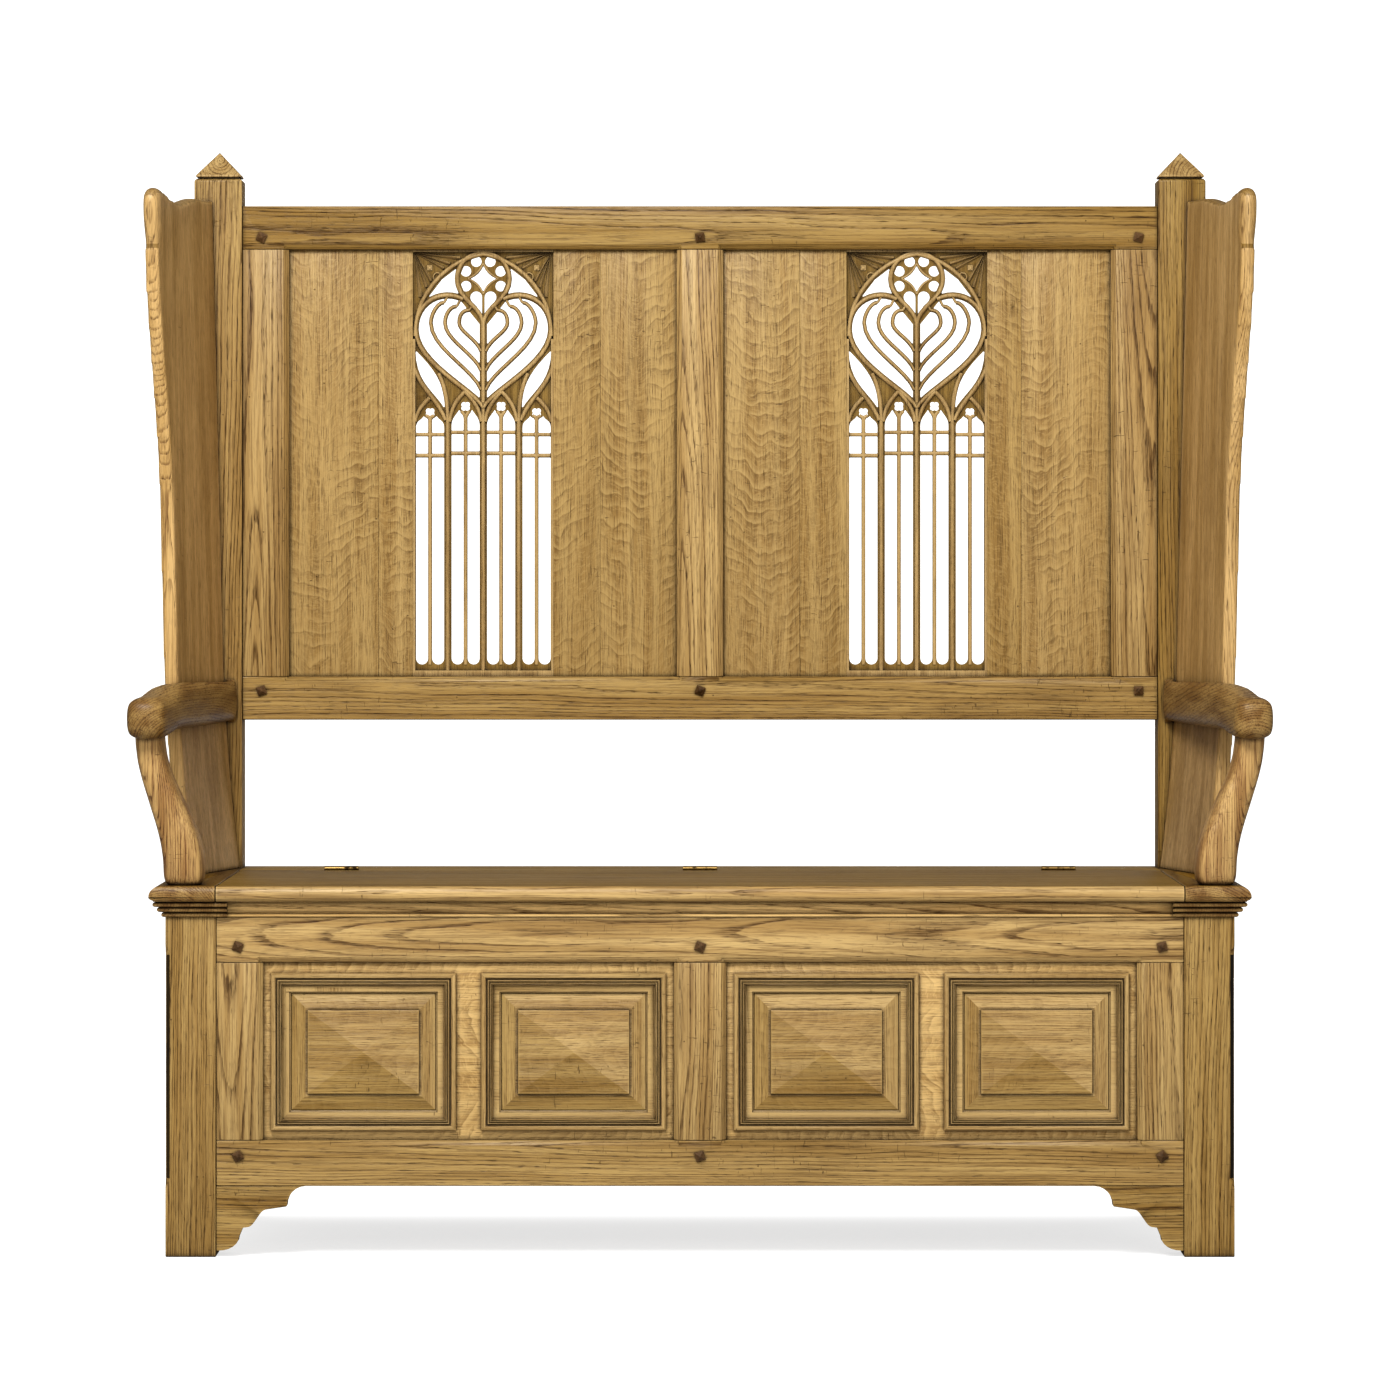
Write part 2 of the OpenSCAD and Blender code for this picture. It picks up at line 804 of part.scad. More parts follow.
// A closed outline round a line of points, w wide
function stroke(p, w) = let (n = len(p) - 1, side = [
    for (i = [0:n]) let (
        d = p[min(i + 1, n)] - p[max(i - 1, 0)],
        u = [-d[1], d[0]] / norm(d))
        u * w / 2
]) concat([for (i = [0:n]) p[i] + side[i]], [for (i = [n:-1:0]) p[i] - side[i]]);

lobe = curve([[-27, -66], [-55, -52], [-91.4, -68], [-91.4, -107]], 12);
flank = curve([[-91.4, -107], [-91.4, -152], [-14, -188], [0, -212]], 12);
drop_side = curve([[-29.5, -57.8], [-22, -71], [-1, -82], [0, -100]]);

// A rib inside the heart, the innermost being k = 0
function nested_rib(k) = let (out = 32.5 + 19.1 * k) concat(
    curve([[-19.3 - 17 * k, -81 + 5.2 * k], [-27 - 17 * k, -81 + 5.2 * k], [-out, -86], [-out, -98]], 6),
    [for (i = [1:9]) curve([[-out, -98], [-out, -110 - 11 * k], [-10 - 2 * k, -119 - 20.5 * k],
                            [-3, -136 - 26 * k]])[i]]
);

module both() {
    for (side = [0, 1]) mirror([side, 0]) children();
}

module heart_outline() {
    polygon(concat([[0, -99]], lobe, flank, [for (i = [len(flank) - 2:-1:0])
        [-flank[i][0], flank[i][1]]], [for (i = [len(lobe) - 1:-1:0]) [-lobe[i][0], lobe[i][1]]]));
}

// The drop shape round the rose: a ring drawn down to a point
module rose_drop(grow) {
    translate([0, ring_z]) circle(r = ring_in + grow);
    both() polygon(concat([[0, ring_z]], [for (p = drop_side) p], [[0, -100]]));
}

module rose_lights() {
    lobe_r = 7.2;
    star = 18;
    intersection() {
        translate([0, ring_z]) circle(r = ring_in);
        translate([0, ring_z]) both() {
            translate([-9.4, 23]) circle(r = lobe_r);
            for (s = [-1, 1]) translate([-23.4, 10 * s]) circle(r = lobe_r);
        }
    }
    both() intersection() {
        polygon([[-1.6, 10], [-1.6, -88], [-60, -88], [-60, 10]]);
        union() {
            translate([-9.6, -63.6]) circle(r = 8);
            polygon([[-17.4, -65.4], [-15, -69.8], [-9, -75.6], [-3.2, -87], [-1.6, -87], [-1.6, -63]]);
        }
    }
    translate([0, ring_z]) for (a = [0:90:270]) rotate(a)
        polygon(concat([[0, 0]], curve([[star, 0], [9, 3.5], [3.5, 9], [0, star]], 8)));
}

module fin_lights() {
    arch_r = 108;
    arch_x = 20.4;
    difference() {
        intersection() {
            translate([arch_x, -116]) circle(r = arch_r);
            translate([-arch_x, -116]) circle(r = arch_r);
            translate([-90, -80]) square([180, 80]);
        }
        rose_drop(main_rib - 1);
        offset(delta = main_rib / 2) heart_outline();
    }
}

module heart_lights() {
    difference() {
        offset(delta = -main_rib / 2) heart_outline();
        translate([-mullion / 2, -220]) square([mullion, 140]);
        both() polygon(stroke(drop_side, main_rib));
        both() for (k = [0:2]) polygon(stroke(nested_rib(k), heart_rib));
    }
}

module leaf_lights() {
    both() polygon(concat(
        curve([[-91.4, -135], [-91.4, -178], [-66, -190], [-51.8, -214]]),
        curve([[-51.8, -214], [-52.4, -182], [-62, -164], [-91.4, -135]])));
}

// Quatrefoil, two pointed lights, two small squares and two long slots
module lancet(x, top, shift) {
    foil = 3.5;
    edge = sub_mullion / 2;
    translate([x, 0]) {
        translate([0, top - 9]) {
            for (a = [45:90:315]) rotate(a) translate([foil, 0]) circle(r = foil);
        }
        both() {
            polygon(concat([[edge, -243 - shift], [edge, -226 - shift]],
                curve([[edge, -226 - shift], [edge + 1, -222 - shift], [7, top - 17], [8.6, top - 13]], 5),
                curve([[8.6, top - 13], [12, top - 20], [edge + light_w, -226 - shift],
                       [edge + light_w, -236 - shift]], 8),
                [[edge + light_w, -243 - shift]]));
            translate([edge, -271 - shift]) square([light_w, 23]);
            translate([edge, light_foot + light_w / 2])
                square([light_w, -276.5 - shift - light_foot - light_w / 2]);
            translate([edge + light_w / 2, light_foot + light_w / 2]) circle(r = light_w / 2);
        }
    }
}

module all_lights() {
    rose_lights();
    fin_lights();
    heart_lights();
    leaf_lights();
    both() {
        lancet((mullion + lancet_w) / 2, -201.5, 0);
        lancet(mullion * 1.5 + lancet_w * 1.5, -210, 3);
    }
}

module tracery() color(OAK_PALE) {
    in = groove - 1;
    depth = back_board_t - 0.2;
    corner = 0.9;
    z1 = back_open_z1;
    translate([tracery_x, board_y + 0.1 + depth, z1]) rotate([90, 0, 0]) linear_extrude(depth)
        difference() {
            translate([-tracery_w / 2, back_open_z0 - z1 - in])
                square([tracery_w, z1 - back_open_z0 + 2 * in]);
            offset(r = corner, $fn = 8) offset(delta = -corner) all_lights($fn = 24);
        }
}

// ---- wings and arms ----

wing_top = back_top + 6;
wing_base = seat_h;

// Distance of a wing's inner face from the middle, where it meets the post at height z
function wing_in(z) = let (h = z - wing_base, f = 1 - min(1, h / 300))
    inner_x + 2 + 0.024 * h + 15.5 * (1 - f * f);

// How far a wing's front edge stands ahead of the post at height z
function wing_front(z) = let (t = (z - 960) / 330)
    wing_d + ear * ease(t);

// The wing seen from the side, [y, z]
module wing_outline() {
    top = wing_top;
    tip = wing_d + ear;
    ear_r = 26;
    polygon(concat(
        [[post_y, wing_base], [post_y, top]],
        [for (p = concat(
            curve([[30, 0], [80, 1], [95, -1], [118, -5]], 6),
            curve([[118, -5], [145, -11], [165, -11], [190, -8]], 6),
            curve([[190, -8], [215, -4], [225, 5], [tip - 16, 5]], 6),
            curve([[tip - 8, 5], [tip, 1], [tip + 2, -10], [tip + 2, -ear_r]], 6)))
            [post_y - p[0], top + p[1]]],
        [for (z = [top - 60:-30:930]) [post_y - wing_front(z), z]],
        [[post_y - wing_d, wing_base]]));
}

module wing() color(OAK) {
    step = 45;
    heights = [for (z = [wing_base:step:wing_top + step]) z];
    off = post_y * sin(splay);
    inner = [for (z = heights) [wing_in(z) * cos(splay) + off, z]];
    n = len(heights) - 1;
    intersection() {
        rotate([0, 0, splay]) rotate([90, 0, 0]) translate([0, 0, -150]) linear_extrude(450)
            polygon(concat(inner, [for (i = [n:-1:0]) inner[i] + [wing_t, 0]]));
        run_x(inner_x - 20, knob_x + 20) wing_outline();
    }
}

// The arm seen from the side, [y, z]: level at the back, then down to the knob
module arm_side() {
    knob_d = 52;
    polygon(concat(
        [[post_y, arm_under], [post_y, arm_top]],
        curve([[knob_front + 190, arm_top], [knob_front + 120, arm_top],
               [knob_front + 90, knob_z + knob_h + 2], [knob_front + knob_d, knob_z + knob_h + 1]], 6),
        [[knob_front + 8, knob_z + knob_h], [knob_front, knob_z + knob_h - 8],
         [knob_front, knob_z + 8], [knob_front + 8, knob_z], [knob_front + knob_d, knob_z]],
        curve([[knob_front + knob_d, knob_z], [knob_front + 80, knob_z],
               [knob_front + 100, arm_under], [knob_front + 150, arm_under]], 5)));
}

// The arm seen from above; its outer face lies against the wing's inner face
module arm_plan() {
    wing_y = post_y - wing_front(arm_top);
    in_at_post = wing_in((arm_top + arm_under) / 2) + 0.3 - 1;
    in_at_edge = in_at_post + wing_d * tan(splay);
    edge_x = knob_x - (wing_y - knob_front) * tan(arm_angle);
    polygon([
        [arm_rear_in + 5, post_y], [arm_rear_in, post_y - 8],
        [arm_front_in, knob_front + 8], [arm_front_in + 8, knob_front],
        [knob_x - 8, knob_front], [knob_x, knob_front + 8],
        [edge_x, wing_y - 0.2], [in_at_edge, wing_y - 0.2], [in_at_edge, wing_y],
        [in_at_post, post_y]]);
}

// The support stands in line with the arm, turned about the middle of its foot
foot_x = inner_x + 41;
foot_y = support_y + support_d / 2;
head_out = knob_x - 25 - foot_x;

module in_line_with_arm() {
    translate([foot_x, foot_y, 0]) rotate([0, 0, arm_angle]) children();
}

// The dowels at the support's head and foot
module support_dowel(grow) {
    in_line_with_arm() {
        translate([0, 0, wing_base - 14 - grow]) cylinder(r = 9 + grow, h = 28 + 2 * grow);
        translate([head_out, 0, knob_z - 14 - grow]) cylinder(r = 9 + grow, h = 28 + 2 * grow);
    }
}

module arm() color(OAK_DARK) {
    difference() {
        intersection() {
            run_x(inner_x - 10, knob_x + 10) arm_side();
            linear_extrude(post_h) arm_plan();
        }
        support_dowel(play / 2);
        wing();
    }
}

// An S-curve from x0 at the seat to x1 at the arm; it starts to bend a little way up
function sway(x0, x1, t) = x0 + (x1 - x0) * ease((t - 0.12) / 0.88);

module arm_support() color(OAK_DARK) {
    n = 16;
    h = knob_z - wing_base;
    foot_half = 22;
    head_half = 13.5;
    in_line_with_arm() {
        translate([0, support_d / 2, 0]) rotate([90, 0, 0]) linear_extrude(support_d)
            polygon(concat(
                [for (i = [0:n])
                    [sway(foot_half, head_out + head_half, i / n), wing_base + h * i / n]],
                [for (i = [n:-1:0])
                    [sway(-foot_half, head_out - head_half, i / n), wing_base + h * i / n]]));
    }
    support_dowel(0);
}

// ---- pegs ----

module pegs() color(OAK_DARK) {
    for (p = peg_spots) translate([p[0], p[1], p[2]]) {
        rotate([-90, 0, 0]) cylinder(r = peg_r, h = peg_l);
        rotate([90, 0, 0]) rotate([0, 0, p[3]]) linear_extrude(peg_head_h, scale = 0.1)
            square(peg_head, center = true);
    }
}

left() front_leg();  // front_leg_left
front_leg();  // front_leg_right
left() rear_post();  // rear_post_left
rear_post();  // rear_post_right
left() post_cap();  // post_cap_left
post_cap();  // post_cap_right
front_top_rail();
front_bottom_rail();
left() front_stile();  // front_stile_left
front_stile();  // front_stile_right
front_muntin();
left() front_panel();  // front_panel_left
front_panel();  // front_panel_right
left() field_mouldings();  // field_mouldings_left
field_mouldings();  // field_mouldings_right
place_field(-field_x[1]);  // raised_field_1
place_field(-field_x[0]);  // raised_field_2
place_field(field_x[0]);  // raised_field_3
place_field(field_x[1]);  // raised_field_4
left() front_bracket();  // front_bracket_left
front_bracket();  // front_bracket_right
front_frieze();
left() cornice();  // cornice_left
cornice();  // cornice_right
left() seat_end_board();  // seat_end_board_left
seat_end_board();  // seat_end_board_right
left() side_top_rail();  // side_top_rail_left
side_top_rail();  // side_top_rail_right
left() side_bottom_rail();  // side_bottom_rail_left
side_bottom_rail();  // side_bottom_rail_right
left() side_panel();  // side_panel_left
side_panel();  // side_panel_right
seat_rear_board();
rear_bottom_rail();
rear_panel();
floor_boards();
seat_lid();
leaves(1, 0);  // hinge_fixed_leaves
leaves(-1, 1);  // hinge_moving_leaves
hinge_pins();
hinge_screws(1);  // hinge_fixed_screws
hinge_screws(-1);  // hinge_moving_screws
back_top_rail();
back_bottom_rail();
left() back_stile();  // back_stile_left
back_stile();  // back_stile_right
back_muntin();
left() back_outer_boards();  // back_outer_boards_left
back_outer_boards();  // back_outer_boards_right
left() back_inner_boards();  // back_inner_boards_left
back_inner_boards();  // back_inner_boards_right
left() tracery();  // tracery_left
tracery();  // tracery_right
left() wing();  // wing_left
wing();  // wing_right
left() arm();  // arm_left
arm();  // arm_right
left() arm_support();  // arm_support_left
arm_support();  // arm_support_right
pegs();
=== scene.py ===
"""Looks of the oak church pew: refined joinery, carved tracery, waxed oak and aged brass."""

import math
import random
import bmesh
import bpy
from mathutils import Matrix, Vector


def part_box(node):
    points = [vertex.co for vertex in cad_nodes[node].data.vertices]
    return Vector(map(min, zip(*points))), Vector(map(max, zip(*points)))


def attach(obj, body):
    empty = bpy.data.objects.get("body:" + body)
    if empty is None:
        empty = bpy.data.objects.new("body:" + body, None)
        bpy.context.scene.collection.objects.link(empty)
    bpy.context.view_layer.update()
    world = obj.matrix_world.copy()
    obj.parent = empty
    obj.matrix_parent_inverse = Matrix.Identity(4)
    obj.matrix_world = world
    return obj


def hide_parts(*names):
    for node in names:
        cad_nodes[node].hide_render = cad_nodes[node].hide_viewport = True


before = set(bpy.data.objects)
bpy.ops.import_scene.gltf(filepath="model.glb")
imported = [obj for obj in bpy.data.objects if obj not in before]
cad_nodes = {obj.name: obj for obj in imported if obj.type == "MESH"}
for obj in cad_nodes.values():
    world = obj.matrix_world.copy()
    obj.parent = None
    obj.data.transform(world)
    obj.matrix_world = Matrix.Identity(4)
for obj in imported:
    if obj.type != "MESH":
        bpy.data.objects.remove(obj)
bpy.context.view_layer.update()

MM = 0.001
AXES = {"x": 0, "y": 1, "z": 2}


def srgb(red, green, blue):
    """A colour given on the 0 to 255 screen scale, as the linear colour that a shader takes."""
    def linear(c):
        c = c / 255
        return c / 12.92 if c <= 0.04045 else ((c + 0.055) / 1.055) ** 2.4
    return (linear(red), linear(green), linear(blue), 1.0)


# ---- shader tools ----

def add(tree, kind, settings=None, **sockets):
    """Adds a node, sets its properties, and fills or links its inputs by name."""
    node = tree.nodes.new(kind)
    for name, value in (settings or {}).items():
        setattr(node, name, value)
    for name, value in sockets.items():
        plug(tree, node.inputs[name.replace("_", " ")], value)
    return node


def plug(tree, socket, value):
    if isinstance(value, bpy.types.NodeSocket):
        tree.links.new(value, socket)
    elif value is not None:
        socket.default_value = value


def calc(tree, operation, a, b=None, c=None, clamp=False):
    node = add(tree, "ShaderNodeMath", {"operation": operation, "use_clamp": clamp})
    for socket, value in zip(node.inputs, (a, b, c)):
        plug(tree, socket, value)
    return node.outputs[0]


def vector_calc(tree, operation, a, b=None):
    node = add(tree, "ShaderNodeVectorMath", {"operation": operation})
    plug(tree, node.inputs[0], a)
    plug(tree, node.inputs[1], b)
    return node.outputs["Value" if operation in ("LENGTH", "DOT_PRODUCT") else "Vector"]


def step(tree, value, low, high):
    """Rises smoothly from 0 at low to 1 at high; low may be the larger, and it then falls."""
    node = add(tree, "ShaderNodeMapRange", {"interpolation_type": "SMOOTHSTEP"})
    plug(tree, node.inputs["Value"], value)
    if low < high:
        ends = (low, high, 0.0, 1.0)
    else:
        ends = (high, low, 1.0, 0.0)
    for name, end in zip(("From Min", "From Max", "To Min", "To Max"), ends):
        node.inputs[name].default_value = end
    return node.outputs[0]


def blend_colour(tree, share, below, above):
    """The colour below, covered by the colour above by a share from 0 to 1."""
    colour_a, colour_b, colour_out = 6, 7, 2    # a Mix node's colour sockets, by place
    node = add(tree, "ShaderNodeMix", {"data_type": "RGBA"})
    plug(tree, node.inputs["Factor"], share)
    plug(tree, node.inputs[colour_a], below)
    plug(tree, node.inputs[colour_b], above)
    return node.outputs[colour_out]


def stretched_noise(tree, place, stretch, detail=2.0, distortion=0.0, roughness=0.5):
    """Noise drawn out along the grain: stretch is how often it varies per metre each way."""
    spread = vector_calc(tree, "MULTIPLY", place, stretch)
    noise = add(tree, "ShaderNodeTexNoise", Vector=spread, Scale=1.0, Detail=detail,
                Roughness=roughness, Distortion=distortion)
    return noise.outputs["Fac"]


def new_group(name, inputs, outputs):
    """An empty shader group with its named sockets: {name: (socket type, default)}."""
    tree = bpy.data.node_groups.new(name, "ShaderNodeTree")
    for label, (kind, default) in inputs.items():
        socket = tree.interface.new_socket(label, in_out="INPUT", socket_type=kind)
        if default is not None:
            socket.default_value = default
    for label, kind in outputs.items():
        tree.interface.new_socket(label, in_out="OUTPUT", socket_type=kind)
    return tree, tree.nodes.new("NodeGroupInput").outputs, tree.nodes.new("NodeGroupOutput").inputs


FLOAT, COLOUR, VECTOR = "NodeSocketFloat", "NodeSocketColor", "NodeSocketVector"


def build_oak_group():
    """Oak sawn from a log. Board holds a point's place in the log, the grain along its X and
    the pith on its X axis, so rings, end grain and figure follow from how the board was cut."""
    tree, given, out = new_group("waxed_oak", {
        "Board": (VECTOR, None), "Tone": (FLOAT, 0.0), "Wax And Shade": (FLOAT, 0.0),
        "Arris": (FLOAT, 0.0), "Pale": (COLOUR, None), "Middle": (COLOUR, None),
        "Dark": (COLOUR, None), "Glaze": (COLOUR, None), "Ring Width": (FLOAT, 0.0021),
        "Ring Contrast": (FLOAT, 0.5), "Fleck": (FLOAT, 0.0), "Pores": (FLOAT, 0.6),
        "Distress": (FLOAT, 0.5), "Wear": (FLOAT, 0.5), "Seam": (FLOAT, 0.0),
    }, {"Color": COLOUR, "Roughness": FLOAT, "Height": FLOAT})
    board = given["Board"]

    # the log's rings, bent a little along its length
    bend = add(tree, "ShaderNodeTexNoise", Scale=1.0, Detail=2.0,
               Vector=vector_calc(tree, "MULTIPLY", board, (3.0, 7.0, 7.0)))
    bend = vector_calc(tree, "SUBTRACT", bend.outputs["Color"], (0.5, 0.5, 0.5))
    bend = vector_calc(tree, "MULTIPLY", bend, (0.0, 0.012, 0.012))
    bent = vector_calc(tree, "ADD", board, bend)
    radius = vector_calc(tree, "LENGTH", vector_calc(tree, "MULTIPLY", bent, (0.0, 1.0, 1.0)))
    rings = calc(tree, "DIVIDE", radius, given["Ring Width"])
    slow = add(tree, "ShaderNodeTexNoise", {"noise_dimensions": "1D"}, Scale=55.0, Detail=1.0)
    plug(tree, slow.inputs["W"], radius)
    rings = calc(tree, "ADD", rings, calc(tree, "MULTIPLY", slow.outputs["Fac"], 4.0))
    ragged = stretched_noise(tree, board, (12.0, 240.0, 240.0), detail=2.0)
    rings = calc(tree, "ADD", rings, calc(tree, "MULTIPLY", ragged, 0.35))
    within = calc(tree, "FRACT", rings)
    early = calc(tree, "MULTIPLY", step(tree, within, 0.42, 0.10), step(tree, within, 0.0, 0.05))
    dashes = stretched_noise(tree, bent, (26.0, 760.0, 760.0), detail=2.0)
    broken_line = calc(tree, "MULTIPLY", step(tree, dashes, 0.36, 0.56), 0.65)
    early = calc(tree, "MULTIPLY", early, calc(tree, "ADD", 0.35, broken_line))

    # fibres and open pores
    fibre = stretched_noise(tree, bent, (7.0, 560.0, 560.0), detail=3.0)
    bands = stretched_noise(tree, bent, (1.6, 60.0, 60.0), detail=3.0)
    cloud = stretched_noise(tree, board, (5.0, 14.0, 14.0), detail=3.0)
    pore = stretched_noise(tree, bent, (60.0, 760.0, 760.0), detail=1.0)
    pore = step(tree, pore, 0.54, 0.70)
    pore = calc(tree, "MULTIPLY", pore, calc(tree, "ADD", 0.35, early))

    # rays: long ripples across the grain that arch over each board, and a fine hatch
    parts = add(tree, "ShaderNodeSeparateXYZ", Vector=board)
    arch = calc(tree, "SINE", calc(tree, "MULTIPLY", parts.outputs["Y"], 34.0))
    arch = calc(tree, "MULTIPLY", arch, 0.02)
    wander = stretched_noise(tree, board, (9.0, 26.0, 26.0), detail=2.0)
    arch = calc(tree, "ADD", arch, calc(tree, "MULTIPLY", wander, 0.045))
    level = calc(tree, "ADD", parts.outputs["X"], arch)
    rippled = add(tree, "ShaderNodeCombineXYZ", X=level, Y=parts.outputs["Y"],
                  Z=parts.outputs["Z"]).outputs[0]
    count = calc(tree, "ADD", calc(tree, "MULTIPLY", level, 58.0),
                 calc(tree, "MULTIPLY", stretched_noise(tree, board, (18.0, 20.0, 20.0)), 1.9))
    across = calc(tree, "FRACT", count)
    patch = stretched_noise(tree, board, (5.0, 16.0, 16.0), detail=1.0)
    broken = stretched_noise(tree, rippled, (75.0, 38.0, 38.0), detail=2.0)
    patch = calc(tree, "MULTIPLY", step(tree, patch, 0.34, 0.56), step(tree, broken, 0.36, 0.5))
    ripple = calc(tree, "MULTIPLY", step(tree, across, 0.0, 0.07), step(tree, across, 0.62, 0.07))
    ripple = calc(tree, "MULTIPLY", ripple, patch)
    trough = calc(tree, "MULTIPLY", step(tree, across, 0.62, 0.98), patch)
    trough = calc(tree, "MULTIPLY", trough, given["Fleck"])
    hatch = stretched_noise(tree, rippled, (360.0, 120.0, 120.0), detail=2.0, distortion=0.6)
    hatch = calc(tree, "MULTIPLY", step(tree, hatch, 0.5, 0.6), 0.55)
    fleck = calc(tree, "MULTIPLY", calc(tree, "MAXIMUM", ripple, hatch), given["Fleck"])

    # knocks, scratches and worm holes
    cells = add(tree, "ShaderNodeTexVoronoi", Vector=board, Scale=55.0, Randomness=1.0)
    hole = step(tree, cells.outputs["Distance"], 0.075, 0.045)
    chosen = add(tree, "ShaderNodeSeparateColor", Color=cells.outputs["Color"]).outputs[0]
    hole = calc(tree, "MULTIPLY", hole, calc(tree, "GREATER_THAN", chosen, 0.86))
    dash = stretched_noise(tree, board, (420.0, 75.0, 75.0), detail=1.0, distortion=1.0)
    dash = calc(tree, "MULTIPLY", step(tree, dash, 0.70, 0.76), step(tree, cloud, 0.45, 0.6))
    knock = calc(tree, "MULTIPLY", calc(tree, "MAXIMUM", hole, dash), given["Distress"])

    # colour, from the wood up to the wax and the painted shade in the recesses
    colour = blend_colour(tree, step(tree, bands, 0.3, 0.7), given["Pale"], given["Middle"])
    contrast = calc(tree, "MULTIPLY", given["Ring Contrast"],
                    calc(tree, "ADD", 0.55, step(tree, bands, 0.35, 0.7)), clamp=True)
    colour = blend_colour(tree, calc(tree, "MULTIPLY", early, contrast), colour, given["Dark"])
    colour = blend_colour(tree, calc(tree, "MULTIPLY", step(tree, fibre, 0.45, 0.68), 0.45),
                          colour, given["Dark"])
    colour = blend_colour(tree, calc(tree, "MULTIPLY", trough, 0.32), colour, given["Dark"])
    colour = blend_colour(tree, calc(tree, "MULTIPLY", step(tree, cloud, 0.45, 0.8), 0.28),
                          colour, given["Dark"])
    colour = blend_colour(tree, calc(tree, "MULTIPLY", fleck, 0.75), colour, given["Pale"])
    colour = blend_colour(tree, calc(tree, "MULTIPLY", pore, given["Pores"]),
                          colour, given["Glaze"])
    worn = calc(tree, "MULTIPLY", given["Arris"], given["Wear"])
    worn = calc(tree, "MULTIPLY", worn, step(tree, cloud, 0.3, 0.6))
    colour = blend_colour(tree, worn, colour, given["Pale"])
    # the recess mask, from ambient occlusion, pulls the colour towards the glaze: partly dark wax,
    # partly painted shade
    wax_and_shade = calc(tree, "MULTIPLY", given["Wax And Shade"],
                 calc(tree, "ADD", 0.75, calc(tree, "MULTIPLY", fibre, 0.5)), clamp=True)
    colour = blend_colour(tree, wax_and_shade, colour, given["Glaze"])
    colour = blend_colour(tree, given["Seam"], colour, SEAM_WAX)
    colour = blend_colour(tree, knock, colour, given["Glaze"])
    shade = add(tree, "ShaderNodeHueSaturation", Color=colour)
    plug(tree, shade.inputs["Value"], calc(tree, "ADD", 1.0, given["Tone"]))
    plug(tree, shade.inputs["Saturation"],
         calc(tree, "SUBTRACT", 0.89,
              calc(tree, "MULTIPLY", calc(tree, "MINIMUM", given["Tone"], 0.0), 0.4)))
    plug(tree, out["Color"], shade.outputs["Color"])

    rough = calc(tree, "ADD", 0.44, calc(tree, "MULTIPLY", pore, 0.2))
    rough = calc(tree, "SUBTRACT", rough, calc(tree, "MULTIPLY", fleck, 0.08))
    plug(tree, out["Roughness"], calc(tree, "ADD", rough, calc(tree, "MULTIPLY", wax_and_shade, 0.2)))
    low = calc(tree, "ADD", calc(tree, "MULTIPLY", early, 0.35), calc(tree, "MULTIPLY", pore, 0.6))
    low = calc(tree, "ADD", low, calc(tree, "MULTIPLY", knock, 1.6))
    plug(tree, out["Height"], calc(tree, "SUBTRACT", calc(tree, "MULTIPLY", fibre, 0.3), low))
    return tree


SEAM_WAX = srgb(30, 16, 4)
OAK_GROUP = build_oak_group()


def oak(name, pale, middle, dark, glaze, wax_and_shade_reach=0.022, wax_and_shade=0.6, seam=0.92,
        seam_from=0.86, **values):
    """A waxed oak with its own colours and figure. Out to a set reach from every recess its colour
    is darkened by ambient occlusion, partly dark wax and partly painted shade, and dark wax lies
    thick in the seams."""
    material = bpy.data.materials.new(name)
    material.use_nodes = True
    tree = material.node_tree
    tree.nodes.clear()
    board = add(tree, "ShaderNodeAttribute", {"attribute_name": "board"})
    tone = add(tree, "ShaderNodeAttribute", {"attribute_name": "tone"})
    nook = add(tree, "ShaderNodeAmbientOcclusion", {"samples": 3}, Distance=wax_and_shade_reach)
    joint = add(tree, "ShaderNodeAmbientOcclusion", {"samples": 3}, Distance=0.006)
    corner = add(tree, "ShaderNodeAmbientOcclusion",
                 {"samples": 3, "inside": True, "only_local": True}, Distance=0.0035)
    group = add(tree, "ShaderNodeGroup", {"node_tree": OAK_GROUP}, Pale=pale, Middle=middle,
                Dark=dark, Glaze=glaze, **values)
    plug(tree, group.inputs["Board"], board.outputs["Vector"])
    plug(tree, group.inputs["Tone"], tone.outputs["Fac"])
    # every recess is darkened out to the reach given, from ambient occlusion: partly dark wax,
    # partly painted shade
    wax_and_shade_mask = step(tree, nook.outputs["AO"], 0.8, 0.15)
    plug(tree, group.inputs["Seam"],
         calc(tree, "MULTIPLY", step(tree, joint.outputs["AO"], seam_from, seam_from - 0.44), seam))
    plug(tree, group.inputs["Wax And Shade"], calc(tree, "MULTIPLY", wax_and_shade_mask, wax_and_shade))
    plug(tree, group.inputs["Arris"], step(tree, corner.outputs["AO"], 0.9, 0.45))
    bump = add(tree, "ShaderNodeBump", Strength=0.75, Distance=0.0007,
               Height=group.outputs["Height"])
    surface = add(tree, "ShaderNodeBsdfPrincipled", Base_Color=group.outputs["Color"],
                  Roughness=group.outputs["Roughness"], Normal=bump.outputs["Normal"])
    surface.inputs["Specular IOR Level"].default_value = 0.32
    surface.inputs["Coat Weight"].default_value = 0.08
    surface.inputs["Coat Roughness"].default_value = 0.3
    add(tree, "ShaderNodeOutputMaterial", Surface=surface.outputs[0])
    return material


